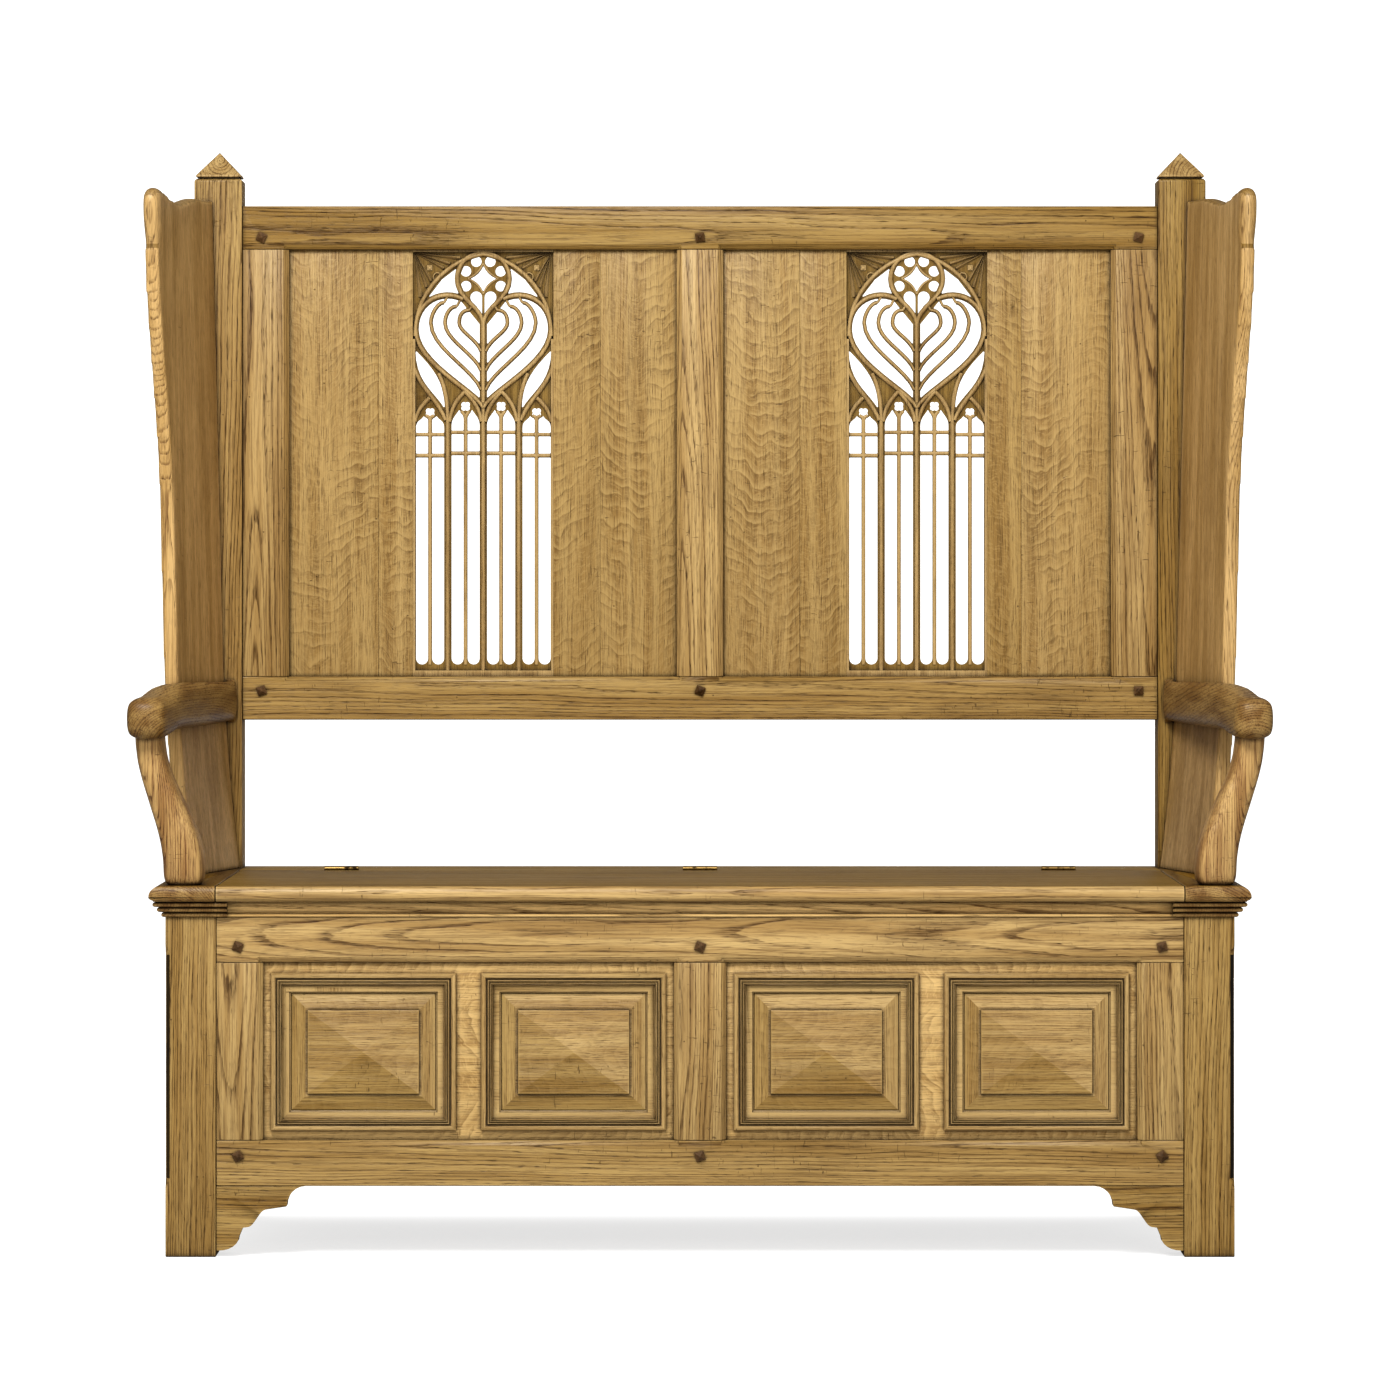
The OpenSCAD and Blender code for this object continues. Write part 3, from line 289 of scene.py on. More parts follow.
GLAZE = srgb(62, 39, 8)
HONEY = dict(pale=srgb(190, 156, 90), middle=srgb(161, 125, 59), dark=srgb(92, 62, 14),
             glaze=GLAZE)
MATERIALS = {
    "frame": oak("oak_frame", Ring_Width=0.0036, Ring_Contrast=0.8, Pores=0.7, Distress=0.6,
                 Wear=0.5, **HONEY),
    "boards": oak("oak_boards", Ring_Contrast=0.22, Fleck=0.9, Pores=0.5, Distress=0.6,
                  Wear=0.3, wax_and_shade=0.45, **HONEY),
    "tracery": oak("oak_tracery", Ring_Contrast=0.35, Fleck=0.3, Pores=0.4, Distress=0.3,
                   Wear=0.75, wax_and_shade_reach=0.008, wax_and_shade=0.9, pale=srgb(190, 156, 92),
                   middle=srgb(156, 122, 62), dark=srgb(88, 60, 16), glaze=srgb(44, 25, 4)),
    # the fields' wide seam darkening also stands for the shadow under each raised middle's step:
    # partly dark wax, partly painted shadow
    "fields": oak("oak_fields", Ring_Contrast=0.5, Fleck=0.25, Pores=0.5, Distress=0.6,
                  Wear=0.8, wax_and_shade_reach=0.008, wax_and_shade=0.7, seam_from=0.95, **HONEY),
    "seat": oak("oak_seat", Ring_Width=0.003, Ring_Contrast=0.6, Pores=0.5, Distress=0.6,
                Wear=0.6, **HONEY),
    # the arms' long reach spreads the recess darkening, partly painted shade, far out from the
    # parts they meet
    "arms": oak("oak_arms", pale=srgb(178, 142, 78), middle=srgb(134, 96, 38),
                dark=srgb(84, 48, 10), glaze=srgb(44, 20, 2), wax_and_shade_reach=0.06,
                Ring_Width=0.0032, Ring_Contrast=0.85, Pores=0.5, Distress=0.5, Wear=0.7),
    "wings": oak("oak_wings", pale=srgb(186, 150, 88), middle=srgb(160, 124, 60),
                 dark=srgb(104, 72, 22), glaze=GLAZE, Ring_Contrast=0.6, Pores=0.6,
                 Distress=0.4, Wear=0.9),
    "pegs": oak("oak_pegs", pale=srgb(104, 74, 38), middle=srgb(60, 38, 15),
                dark=srgb(36, 20, 6), glaze=srgb(24, 12, 4), wax_and_shade=0.25, seam=0.75,
                Ring_Contrast=0.4, Wear=0.9),
    "plain": oak("oak_plain", pale=srgb(188, 160, 112), middle=srgb(168, 138, 90),
                 dark=srgb(128, 98, 56), glaze=GLAZE, Ring_Contrast=0.6, Pores=0.5),
}


def aged_brass():
    """Brass that has gone dull and brown in patches and in its corners."""
    material = bpy.data.materials.new("aged_brass")
    material.use_nodes = True
    tree = material.node_tree
    tree.nodes.clear()
    place = add(tree, "ShaderNodeTexCoord").outputs["Object"]
    tarnish = add(tree, "ShaderNodeTexNoise", Vector=place, Scale=140.0, Detail=4.0)
    nook = add(tree, "ShaderNodeAmbientOcclusion", {"samples": 4}, Distance=0.004)
    dull = calc(tree, "ADD", step(tree, tarnish.outputs["Fac"], 0.45, 0.65),
                step(tree, nook.outputs["AO"], 0.7, 0.3), clamp=True)
    colour = blend_colour(tree, dull, srgb(150, 122, 72), srgb(66, 50, 26))
    rough = calc(tree, "ADD", 0.42, calc(tree, "MULTIPLY", dull, 0.3))
    bump = add(tree, "ShaderNodeBump", Strength=0.2, Distance=0.0002,
               Height=tarnish.outputs["Fac"])
    surface = add(tree, "ShaderNodeBsdfPrincipled", Base_Color=colour, Metallic=1.0,
                  Roughness=rough, Normal=bump.outputs["Normal"])
    add(tree, "ShaderNodeOutputMaterial", Surface=surface.outputs[0])
    return material


MATERIALS["brass"] = aged_brass()


# ---- joiner's tools ----

def rough_out(node):
    """A merged copy of a CAD node's mesh, its flat faces whole."""
    bm = bmesh.new()
    bm.from_mesh(cad_nodes[node].data)
    bmesh.ops.remove_doubles(bm, verts=bm.verts, dist=0.00002)
    bmesh.ops.dissolve_limit(bm, angle_limit=math.radians(0.4), verts=bm.verts, edges=bm.edges)
    return bm


def ease_arrises(bm, width, segments=2):
    """Rounds the outer edges that are long and sharp enough."""
    shortest, sharpness = 0.009, math.radians(25)
    edges = [e for e in bm.edges
             if e.is_manifold and e.is_convex and e.calc_length() > shortest
             and e.calc_face_angle() > sharpness]
    bmesh.ops.bevel(bm, geom=edges, offset=width, offset_type="OFFSET", segments=segments,
                    profile=0.5, affect="EDGES", clamp_overlap=False)


def solids(bm):
    """The separate solids in a mesh, each as its list of faces."""
    left = set(bm.faces)
    found = []
    for seed in bm.faces:
        if seed not in left:
            continue
        left.remove(seed)
        group, edge_of = [seed], [seed]
        while edge_of:
            face = edge_of.pop()
            for e in face.edges:
                for other in e.link_faces:
                    if other in left:
                        left.remove(other)
                        group.append(other)
                        edge_of.append(other)
        found.append(group)

    def place(group):
        middle = sum((f.calc_center_median() for f in group), Vector()) / len(group)
        return tuple(round(c, 4) for c in middle)

    return sorted(found, key=place)


def middle_of(group):
    """The middle of the box round a list of faces."""
    points = [v.co for f in group for v in f.verts]
    return Vector([(min(p[i] for p in points) + max(p[i] for p in points)) / 2
                   for i in range(3)])


# How a board is cut from the log: where its middle lies from the pith, across and in depth
FLAT = (0.006, 0.060)
QUARTER = (0.20, 0.012)
RIFT = (0.09, 0.10)


def saw(bm, name, grain="z", face="y", cut=FLAT, taper=0.022, tone=0.05, shade=0.0,
        grain_of=None):
    """Gives every solid its own place in a log. grain is the axis that the grain follows, face
    the axis that the board's broad face looks along; grain_of may turn single faces.
    shade makes the whole piece darker or lighter, and tone is how much its solids differ."""
    board = bm.loops.layers.float_vector.new("board")
    tint_layer = bm.loops.layers.float.new("tone")
    rng = random.Random(name)
    for group in solids(bm):
        middle = middle_of(group)
        looks = {}
        for f in group:
            along = grain_of(f, middle) if grain_of else grain
            if along not in looks:
                looks[along] = (rng.uniform(0, 40), rng.choice((-1, 1)), rng.uniform(-0.03, 0.03),
                                rng.uniform(-0.02, 0.02), shade + rng.uniform(-tone, tone),
                                taper * rng.uniform(0.6, 1.4) * rng.choice((-1, 1)))
            start, side, slip, lift, tint, lean = looks[along]
            along_axis, face_axis = AXES[along[0]], AXES[face]
            if face_axis == along_axis:
                face_axis = (along_axis + 1) % 3
            across_axis = 3 - along_axis - face_axis
            for loop in f.loops:
                p = loop.vert.co - middle
                loop[board] = (p[along_axis] + start, side * p[across_axis] + cut[0] + slip,
                               p[face_axis] + cut[1] + lift + lean * p[along_axis])
                loop[tint_layer] = tint


def finish_piece(bm, node, material, body="base", smooth=30):
    """Turns a bench mesh into the piece that stands for a CAD node."""
    mesh = bpy.data.meshes.new(node + "_finished")
    bm.to_mesh(mesh)
    bm.free()
    mesh.shade_smooth()
    mesh.set_sharp_from_angle(angle=math.radians(smooth))
    mesh.materials.append(MATERIALS[material])
    piece = bpy.data.objects.new(node + "_finished", mesh)
    bpy.context.scene.collection.objects.link(piece)
    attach(piece, body)
    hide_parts(node)


def darken(bm, chosen, amount):
    """Darkens or lightens the faces that chosen(face) picks, by amount: for real marks and for
    painted shade and light alike.
    """
    tint_layer = bm.loops.layers.float["tone"]
    for f in bm.faces:
        if chosen(f):
            for loop in f.loops:
                loop[tint_layer] += amount


def close_up(bm, reach=0.00014):
    """Widens each board of a panel by a hair, so that no light shows through the joints."""
    for group in solids(bm):
        corners = {v for f in group for v in f.verts}
        middle = (min(v.co.x for v in corners) + max(v.co.x for v in corners)) / 2
        for v in corners:
            v.co.x += reach if v.co.x > middle else -reach


def plain_piece(node, material, grain, face, arris=1.3, body="base", painted_shade=None,
                closed=False, **cut):
    """A CAD node with eased arrises, sawn and waxed; a pair (which faces, how much) may be given to
    darken those faces as painted shade.
    """
    bm = rough_out(node)
    if closed:
        close_up(bm)
    ease_arrises(bm, arris * MM)
    saw(bm, node, grain, face, **cut)
    if painted_shade:
        darken(bm, *painted_shade)
    finish_piece(bm, node, material, body)


SIDES = ("left", "right")

# ---- framing ----


def shaded_leg_chamfer(f):
    """The broad bevel on a front leg's outer corner, which is painted nearly black as shade."""
    return abs(f.normal.x) > 0.5 and f.normal.y < -0.4 and f.calc_area() > 0.0005


for side in SIDES:
    # painted shade: each front leg's outer chamfer is darkened nearly black, as it looks turned
    # away from the light
    plain_piece("front_leg_" + side, "frame", "z", "y", cut=RIFT, shade=-0.16,
                painted_shade=(shaded_leg_chamfer, -0.8))
    plain_piece("rear_post_" + side, "frame", "z", "y", cut=RIFT,
                shade=-0.14 if side == "left" else -0.34)
    plain_piece("post_cap_" + side, "frame", "z", "y", arris=0.8, cut=(0.01, 0.03))
    plain_piece("front_stile_" + side, "frame", "z", "y")
    plain_piece("back_stile_" + side, "frame", "z", "y")
    plain_piece("front_bracket_" + side, "frame", "x", "y", cut=RIFT, shade=-0.18)
    plain_piece("side_top_rail_" + side, "frame", "y", "x")
    plain_piece("side_bottom_rail_" + side, "frame", "y", "x")
for node, shade in (("front_top_rail", 0.12), ("front_bottom_rail", -0.1),
                    ("back_top_rail", -0.3), ("back_bottom_rail", -0.16),
                    ("rear_bottom_rail", -0.05)):
    plain_piece(node, "frame", "x", "y", taper=0.014, shade=shade)
plain_piece("front_muntin", "frame", "z", "y")
plain_piece("back_muntin", "frame", "z", "y", shade=0.08)
# partly paler wood, partly painted light: the frieze is made much lighter to make up for the shade
# it lies in under the lid's overhang
plain_piece("front_frieze", "frame", "x", "y", shade=0.8)

# ---- panels and boards ----
for side in SIDES:
    plain_piece("front_panel_" + side, "boards", "x", "y", cut=QUARTER, shade=0.34)
    plain_piece("side_panel_" + side, "boards", "y", "x", cut=QUARTER)
    plain_piece("back_outer_boards_" + side, "boards", "z", "y", arris=0.4, cut=QUARTER,
                closed=True, shade=-0.08)
    plain_piece("back_inner_boards_" + side, "boards", "z", "y", arris=0.4, cut=QUARTER,
                closed=True, shade=-0.06)
plain_piece("rear_panel", "plain", "x", "y")
plain_piece("floor_boards", "plain", "y", "z")

# ---- seat ----
# painted shade: the upward faces of the seat's boards are darkened, as tops look when seen at a
# low, grazing angle
painted_dark_top = (lambda f: f.normal.z > 0.9, -0.34)
bm = rough_out("seat_lid")
ease_arrises(bm, 2.0 * MM)
saw(bm, "seat_lid", "x", "z", shade=0.16)
# painted shade: the lid's top is darker than its edges, as it looks when seen at a grazing angle
darken(bm, lambda f: f.normal.z > 0.9, -0.5)
finish_piece(bm, "seat_lid", "seat", "lid")
plain_piece("seat_rear_board", "seat", "x", "z", painted_shade=painted_dark_top)
for side in SIDES:
    plain_piece("seat_end_board_" + side, "arms", "y", "z", arris=2.0, shade=-0.15,
                painted_shade=painted_dark_top)
    plain_piece("cornice_" + side, "arms", "y", "x", arris=0.8, shade=-0.1)

# ---- mouldings and raised fields ----


MOULDING_HALF = (0.1092, 0.1)   # half the width and height of a mitred moulding frame
FIELD_HALF = 0.066              # half the width of the pyramid in the middle of a field
SLOPE = 0.03                    # how far a face leans, at least, to count as a slope


def mitred_grain(face, middle):
    """Which way the grain of a mitred frame runs at a face: along the nearer side."""
    p = face.calc_center_median() - middle
    half_w, half_h = MOULDING_HALF
    return "x_top" if half_h - abs(p.z) < half_w - abs(p.x) else "z_side"


for side in SIDES:
    bm = rough_out("field_mouldings_" + side)
    ease_arrises(bm, 0.8 * MM, segments=1)
    saw(bm, side, grain_of=mitred_grain)
    finish_piece(bm, "field_mouldings_" + side, "fields")


def field_grain(face, middle):
    """The grain runs up and down on a field's side slopes, and across everywhere else."""
    side = abs(face.normal.x) > 0.12 and abs(face.calc_center_median().x - middle.x) > FIELD_HALF
    return "z_side" if side else "x"


def field_painted_shade(bm):
    """Painted shade and light: the slopes that face down and to the left are darkened, and those
    that face up lightened, by which way each slope faces.
    """
    darken(bm, lambda f: f.normal.z < -SLOPE, -0.2)
    darken(bm, lambda f: f.normal.z > SLOPE, 0.05)
    darken(bm, lambda f: f.normal.x < -SLOPE, -0.1)


for number in range(1, 5):
    bm = rough_out(f"raised_field_{number}")
    ease_arrises(bm, 0.8 * MM)
    saw(bm, f"raised_field_{number}", "x", "y", cut=QUARTER, grain_of=field_grain)
    field_painted_shade(bm)
    finish_piece(bm, f"raised_field_{number}", "fields", smooth=2)

# ---- geometry trees: what follows a path, and what repeats ----

def new_tree(name, inputs):
    """An empty geometry tree with its named inputs: {name: (socket type, default)}."""
    tree = bpy.data.node_groups.new(name, "GeometryNodeTree")
    tree.interface.new_socket("Geometry", in_out="INPUT", socket_type="NodeSocketGeometry")
    for label, (kind, default) in inputs.items():
        socket = tree.interface.new_socket(label, in_out="INPUT", socket_type=kind)
        if default is not None:
            socket.default_value = default
    tree.interface.new_socket("Geometry", in_out="OUTPUT", socket_type="NodeSocketGeometry")
    return tree, tree.nodes.new("NodeGroupInput").outputs, tree.nodes.new("NodeGroupOutput").inputs


def finish_tree(tree, given, out, geometry):
    """Ends a tree: its instances are made real, and it gets its material."""
    whole = add(tree, "GeometryNodeRealizeInstances", Geometry=geometry)
    coated = add(tree, "GeometryNodeSetMaterial", Geometry=whole.outputs[0],
                 Material=given["Material"])
    plug(tree, out["Geometry"], coated.outputs[0])
    return tree


def build_rib_tree():
    """Carved ribs: paths drawn on a board become half-round ribs that stand on it."""
    tree, given, out = new_tree("carved_ribs", {
        "Width": (FLOAT, 0.0086), "Height": (FLOAT, 0.004), "Sides": ("NodeSocketInt", 12),
        "Material": ("NodeSocketMaterial", None)})
    path = add(tree, "GeometryNodeMeshToCurve", Mesh=given["Geometry"])
    section = add(tree, "GeometryNodeCurvePrimitiveCircle", Resolution=given["Sides"],
                  Radius=calc(tree, "DIVIDE", given["Width"], 2.0))
    rib = add(tree, "GeometryNodeCurveToMesh", Curve=path.outputs[0],
              Profile_Curve=section.outputs["Curve"], Fill_Caps=True)
    squeeze = add(tree, "ShaderNodeCombineXYZ", X=1.0, Z=1.0,
                  Y=calc(tree, "DIVIDE", calc(tree, "MULTIPLY", given["Height"], 2.0),
                         given["Width"]))
    flat = add(tree, "GeometryNodeTransform", Geometry=rib.outputs[0], Scale=squeeze.outputs[0])
    return finish_tree(tree, given, out, flat.outputs[0])


def build_peg_tree():
    """Square peg heads, each cut to a low pyramid and turned its own way, on their shanks."""
    tree, given, out = new_tree("peg_heads", {
        "Head Width": (FLOAT, 0.012), "Head Height": (FLOAT, 0.005),
        "Shank Radius": (FLOAT, 0.0045), "Shank Length": (FLOAT, 0.026),
        "Seed": ("NodeSocketInt", 4), "Material": ("NodeSocketMaterial", None)})
    half_diagonal = calc(tree, "MULTIPLY", given["Head Width"], math.sqrt(0.5))
    head = add(tree, "GeometryNodeMeshCone", Vertices=4, Radius_Bottom=half_diagonal,
               Radius_Top=calc(tree, "MULTIPLY", half_diagonal, 0.12), Depth=given["Head Height"])
    shank = add(tree, "GeometryNodeMeshCylinder", Vertices=16, Radius=given["Shank Radius"],
                Depth=given["Shank Length"])
    sunk = add(tree, "ShaderNodeCombineXYZ", X=0.0, Y=0.0,
               Z=calc(tree, "MULTIPLY", given["Shank Length"], -0.5))
    shank = add(tree, "GeometryNodeTransform", Geometry=shank.outputs["Mesh"],
                Translation=sunk.outputs[0])
    peg = tree.nodes.new("GeometryNodeJoinGeometry")
    tree.links.new(head.outputs["Mesh"], peg.inputs[0])
    tree.links.new(shank.outputs[0], peg.inputs[0])
    least, most, amount = 2, 3, 1    # a Random Value node's float sockets, by place
    turn = add(tree, "FunctionNodeRandomValue", {"data_type": "FLOAT"}, Seed=given["Seed"])
    turn.inputs[least].default_value = math.radians(12)
    turn.inputs[most].default_value = math.radians(84)
    facing = add(tree, "ShaderNodeCombineXYZ", X=math.radians(90), Y=0.0)
    spin = add(tree, "ShaderNodeCombineXYZ", X=0.0, Y=0.0, Z=turn.outputs[amount])
    placed = add(tree, "GeometryNodeInstanceOnPoints", Points=given["Geometry"],
                 Instance=peg.outputs[0], Rotation=facing.outputs[0])
    turned = add(tree, "GeometryNodeRotateInstances", Instances=placed.outputs[0],
                 Rotation=spin.outputs[0])
    return finish_tree(tree, given, out, turned.outputs[0])


def grow(tree, mesh, **values):
    """Runs a geometry tree over a mesh and gives back the plain mesh that it makes."""
    holder = bpy.data.objects.new("growing", mesh)
    bpy.context.scene.collection.objects.link(holder)
    modifier = holder.modifiers.new("tree", "NODES")
    modifier.node_group = tree
    for item in tree.interface.items_tree:
        if item.in_out == "INPUT" and item.name in values:
            modifier[item.identifier] = values[item.name]
    return harvest(holder)


def harvest(holder):
    """The evaluated mesh of an object, which is then removed with its modifiers."""
    bpy.context.view_layer.update()
    evaluated = holder.evaluated_get(bpy.context.evaluated_depsgraph_get())
    mesh = bpy.data.meshes.new_from_object(evaluated)
    source = holder.data
    bpy.data.objects.remove(holder)
    bpy.data.meshes.remove(source)
    return mesh


RIB_TREE = build_rib_tree()
PEG_TREE = build_peg_tree()


def node_middles(node):
    """The middle of each separate solid of a CAD node."""
    bm = rough_out(node)
    middles = [middle_of(group) for group in solids(bm)]
    bm.free()
    return middles


# ---- tracery, drawn in mm on x across its middle and z down from the top of the opening ----
PLATE_DROP = 4.5          # how far the pierced plate lies behind the ribs' crowns
MAIN_RIB = (6.2, 4.2)     # width and height of the ribs, from the boldest to the finest
HEART_RIB = (3.7, 2.6)
GLAZING_RIB = (4.8, 1.7)
STAR_RIB = (2.4, 1.2)
HALF_RING_RIB = (2.4, 2.2)
MULLION = 9.8             # the wood between two lancets, and the width of a lancet
LANCET_W = 38.0
RING = (-38.6, 35.3)      # the rose's middle, and the radius of its rib
ARCH = (20.4, -116, 112.4)      # middle and radius of the left half of the pointed arch
SPRING = -120             # where the arch's sides start to curve
LIGHTS_FOOT = -558        # where the lancets' bars end
FIELD_FOOT = -566         # the top of the plain border below them


def bezier(a, b, c, d, steps=12):
    """Points along a curve from a to d, which b and c pull towards them."""
    points = []
    for i in range(steps + 1):
        t = i / steps
        u = 1 - t
        points.append(tuple(u ** 3 * a[k] + 3 * u * u * t * b[k] + 3 * u * t * t * c[k]
                            + t ** 3 * d[k] for k in (0, 1)))
    return points


def arc(x, z, radius, start, end, steps=24):
    """Points along part of a circle, between two angles in degrees."""
    turn = [math.radians(start + (end - start) * i / steps) for i in range(steps + 1)]
    return [(x + radius * math.cos(a), z + radius * math.sin(a)) for a in turn]


def mirrored(path):
    return [(-x, z) for x, z in path]


def main_ribs():
    """The arch, the drop round the rose, the heart, the leaves and the lancets' heads."""
    ring_z, ring_r = RING
    arch_x, arch_z, arch_r = ARCH
    crown = math.degrees(math.acos(-arch_x / arch_r))
    tangent = math.degrees(math.atan2(-57.8 - ring_z, -29.5))
    half = [
        arc(arch_x, arch_z, arch_r, crown, 180),
        bezier((-29.5, -57.8), (-22, -71), (-1, -82), (0, -100)),
        bezier((-27, -66), (-55, -52), (-91.4, -68), (-91.4, -107))
        + bezier((-91.4, -107), (-91.4, -152), (-14, -188), (0, -212))[1:],
        bezier((-93.5, -159), (-84, -186), (-60, -204), (-50.4, -229), 10),
        bezier((-60, -166), (-50, -188), (-48, -208), (-47.8, -229), 10),
        bezier((-24.6, -190.6), (-38, -204), (-44, -216), (-45.5, -231), 8),
        bezier((-24.6, -190.6), (-11, -204), (-4, -216), (-2.5, -231), 8),
        bezier((-72, -199), (-84, -210), (-90.5, -220), (-92, -231), 8),
    ]
    ring = [arc(0, ring_z, ring_r, tangent + 360, -tangent - 180, 40)]
    columns = [[(x, -205 if x == 0 else -226), (x, FIELD_FOOT - 2)]
               for x in (-MULLION - LANCET_W, 0, MULLION + LANCET_W)]
    stem = [[(0, -98), (0, -214)]]
    return half + [mirrored(path) for path in half] + ring + stem + columns


def nested_ribs():
    """The thinner ribs inside the heart, the innermost first."""
    paths = []
    for k in range(3):
        out = 32.5 + 19.1 * k
        top = (-19.3 - 17 * k, -81 + 5.2 * k)
        paths.append(
            [(top[0] + 5, top[1] + 8), (top[0] + 1.6, top[1] + 1.2)]
            + bezier(top, (-27 - 17 * k, -81 + 5.2 * k), (-out, -86), (-out, -98), 6)
            + bezier((-out, -98), (-out, -110 - 11 * k), (-10 - 2 * k, -119 - 20.5 * k),
                     (-3, -136 - 26 * k), 9)[1:])
    return paths + [mirrored(path) for path in paths]


def rose_star():
    """The thin lines of the four-pointed star in the rose."""
    ring_z = RING[0]
    star = []
    for quarter in range(4):
        a = math.radians(90 * quarter)
        turned = [(x * math.cos(a) - z * math.sin(a), ring_z + x * math.sin(a) + z * math.cos(a))
                  for x, z in bezier((20.5, 0), (10.5, 4.5), (4.5, 10.5), (0, 20.5), 8)]
        star.append(turned)
    return star


def glazing_bars():
    """Each lancet's upright bar, its two cross bars, and the cusps that fork from its top."""
    bars = []
    for middle, shift in ((MULLION + LANCET_W) / 2, 0), ((MULLION + LANCET_W) * 1.5, 3):
        for side in (-1, 1):
            x = side * middle
            bars.append([(x, -226 - shift), (x, LIGHTS_FOOT)])
            for z in (-245.5 - shift, -273.7 - shift):
                bars.append([(x - LANCET_W / 2, z), (x + LANCET_W / 2, z)])
            for way in (-1, 1):
                bars.append([(x, -228 - shift), (x + way * 1.2, -222 - shift),
                             (x + way * 5.6, -217 - shift * 2)])
    return bars


def path_mesh(paths, middle_x, top_z):
    """Paths given in the tracery's own mm, as edges on the plane y = 0 of the pew's frame."""
    verts, edges = [], []
    for path in paths:
        first = len(verts)
        verts += [(middle_x + x * MM, 0.0, top_z + z * MM) for x, z in path]
        edges += [(first + i, first + i + 1) for i in range(len(path) - 1)]
    mesh = bpy.data.meshes.new("paths")
    mesh.from_pydata(verts, edges, [])
    return mesh


def add_ribs(bm, paths, place, rib):
    """Sweeps half-round ribs along the paths; the tree flattens them towards y = 0."""
    middle_x, top_z, y = place
    width, height = rib
    ribs = grow(RIB_TREE, path_mesh(paths, middle_x, top_z), Width=width * MM,
                Height=height * MM, Material=MATERIALS["tracery"])
    for v in ribs.vertices:
        v.co.y += y
    bm.from_mesh(ribs)
    bpy.data.meshes.remove(ribs)


def add_wedge(bm, place, start, end, start_w, end_w, height):
    """A ridge with a sharp crest from one point of the tracery to another."""
    middle_x, top_z, y = place
    a, b = Vector(start), Vector(end)
    across = Vector((-(b - a).y, (b - a).x)).normalized()

    def at(p, h):
        return bm.verts.new((middle_x + p.x * MM, y - h * MM, top_z + p.y * MM))

    low = [at(a - across * start_w / 2, -1), at(a + across * start_w / 2, -1),
           at(b + across * end_w / 2, -1), at(b - across * end_w / 2, -1)]
    crest = [at(a, height * 0.6), at(b, height)]
    faces = [(low[0], low[1], crest[0]), (low[1], low[2], crest[1], crest[0]),
             (low[2], low[3], crest[1]), (low[3], low[0], crest[0], crest[1]),
             (low[3], low[2], low[1], low[0])]
    made = [bm.faces.new(f) for f in faces]
    bmesh.ops.recalc_face_normals(bm, faces=made)


def add_block(bm, low, high):
    """A plain block between two corners, in metres."""
    made = bmesh.ops.create_cube(bm, size=1.0)["verts"]
    low, high = Vector(low), Vector(high)
    for v in made:
        v.co = Vector([low[i] + (v.co[i] + 0.5) * (high[i] - low[i]) for i in range(3)])


FLUTE_ANGLES = (7, 18, 29, 61, 72, 83)      # degrees below the level
FLUTE_CORNER = Vector((-91.5, -3.5))        # where the flutes of the left corner start
FLUTE_REACH = (8, 110)                      # their shortest and longest length
FLUTE_HEIGHT = 3.6
STUD = (-72.0, -24.0)
STUD_STEPS = ((3.4, 1.6), (1.6, 2.8))       # half width and height of the stud's two steps


def flute_length(way):
    """How far a flute runs before it meets the arch or the middle of the top."""
    arch_x, arch_z, arch_r = ARCH
    reach, longest = FLUTE_REACH
    while reach < longest:
        p = FLUTE_CORNER + way * reach
        if (p - Vector((arch_x, arch_z))).length < arch_r + 5 or p.x > -6:
            break
        reach += 1
    return reach


def add_spandrels(bm, place):
    """Carving in the top corners: flutes that fan out from the corner, a stud and a half ring."""
    middle_x, top_z, y = place
    for side in (-1, 1):
        for angle in FLUTE_ANGLES:
            way = Vector((math.cos(math.radians(angle)), -math.sin(math.radians(angle))))
            reach = flute_length(way)
            tip = FLUTE_CORNER + way * reach
            add_wedge(bm, place, (side * -FLUTE_CORNER.x, FLUTE_CORNER.y),
                      (side * -tip.x, tip.y), 0.8, 1.5 + reach * 0.12, FLUTE_HEIGHT)
        stud_x, stud_z = side * STUD[0], STUD[1]
        for half, tall in STUD_STEPS:
            add_block(bm, (middle_x + (stud_x - half) * MM, y - tall * MM,
                           top_z + (stud_z - half) * MM),
                      (middle_x + (stud_x + half) * MM, y + 0.001,
                       top_z + (stud_z + half) * MM))
    half_ring = arc(-61.5, -36.5, 5.5, 45, 225, 10)
    add_ribs(bm, [half_ring, mirrored(half_ring)], place, HALF_RING_RIB)


def saw_whole(bm, name, taper=0.03):
    """As saw, for an upright piece carved from one quartered board in many solids."""
    board = bm.loops.layers.float_vector.new("board")
    tint_layer = bm.loops.layers.float.new("tone")
    start = random.Random(name).uniform(0, 40)
    middle = sum((v.co for v in bm.verts), Vector()) / len(bm.verts)
    for f in bm.faces:
        for loop in f.loops:
            p = loop.vert.co - middle
            loop[board] = (p.z + start, p.x + QUARTER[0], p.y + QUARTER[1] + taper * p.z)
            loop[tint_layer] = 0.0


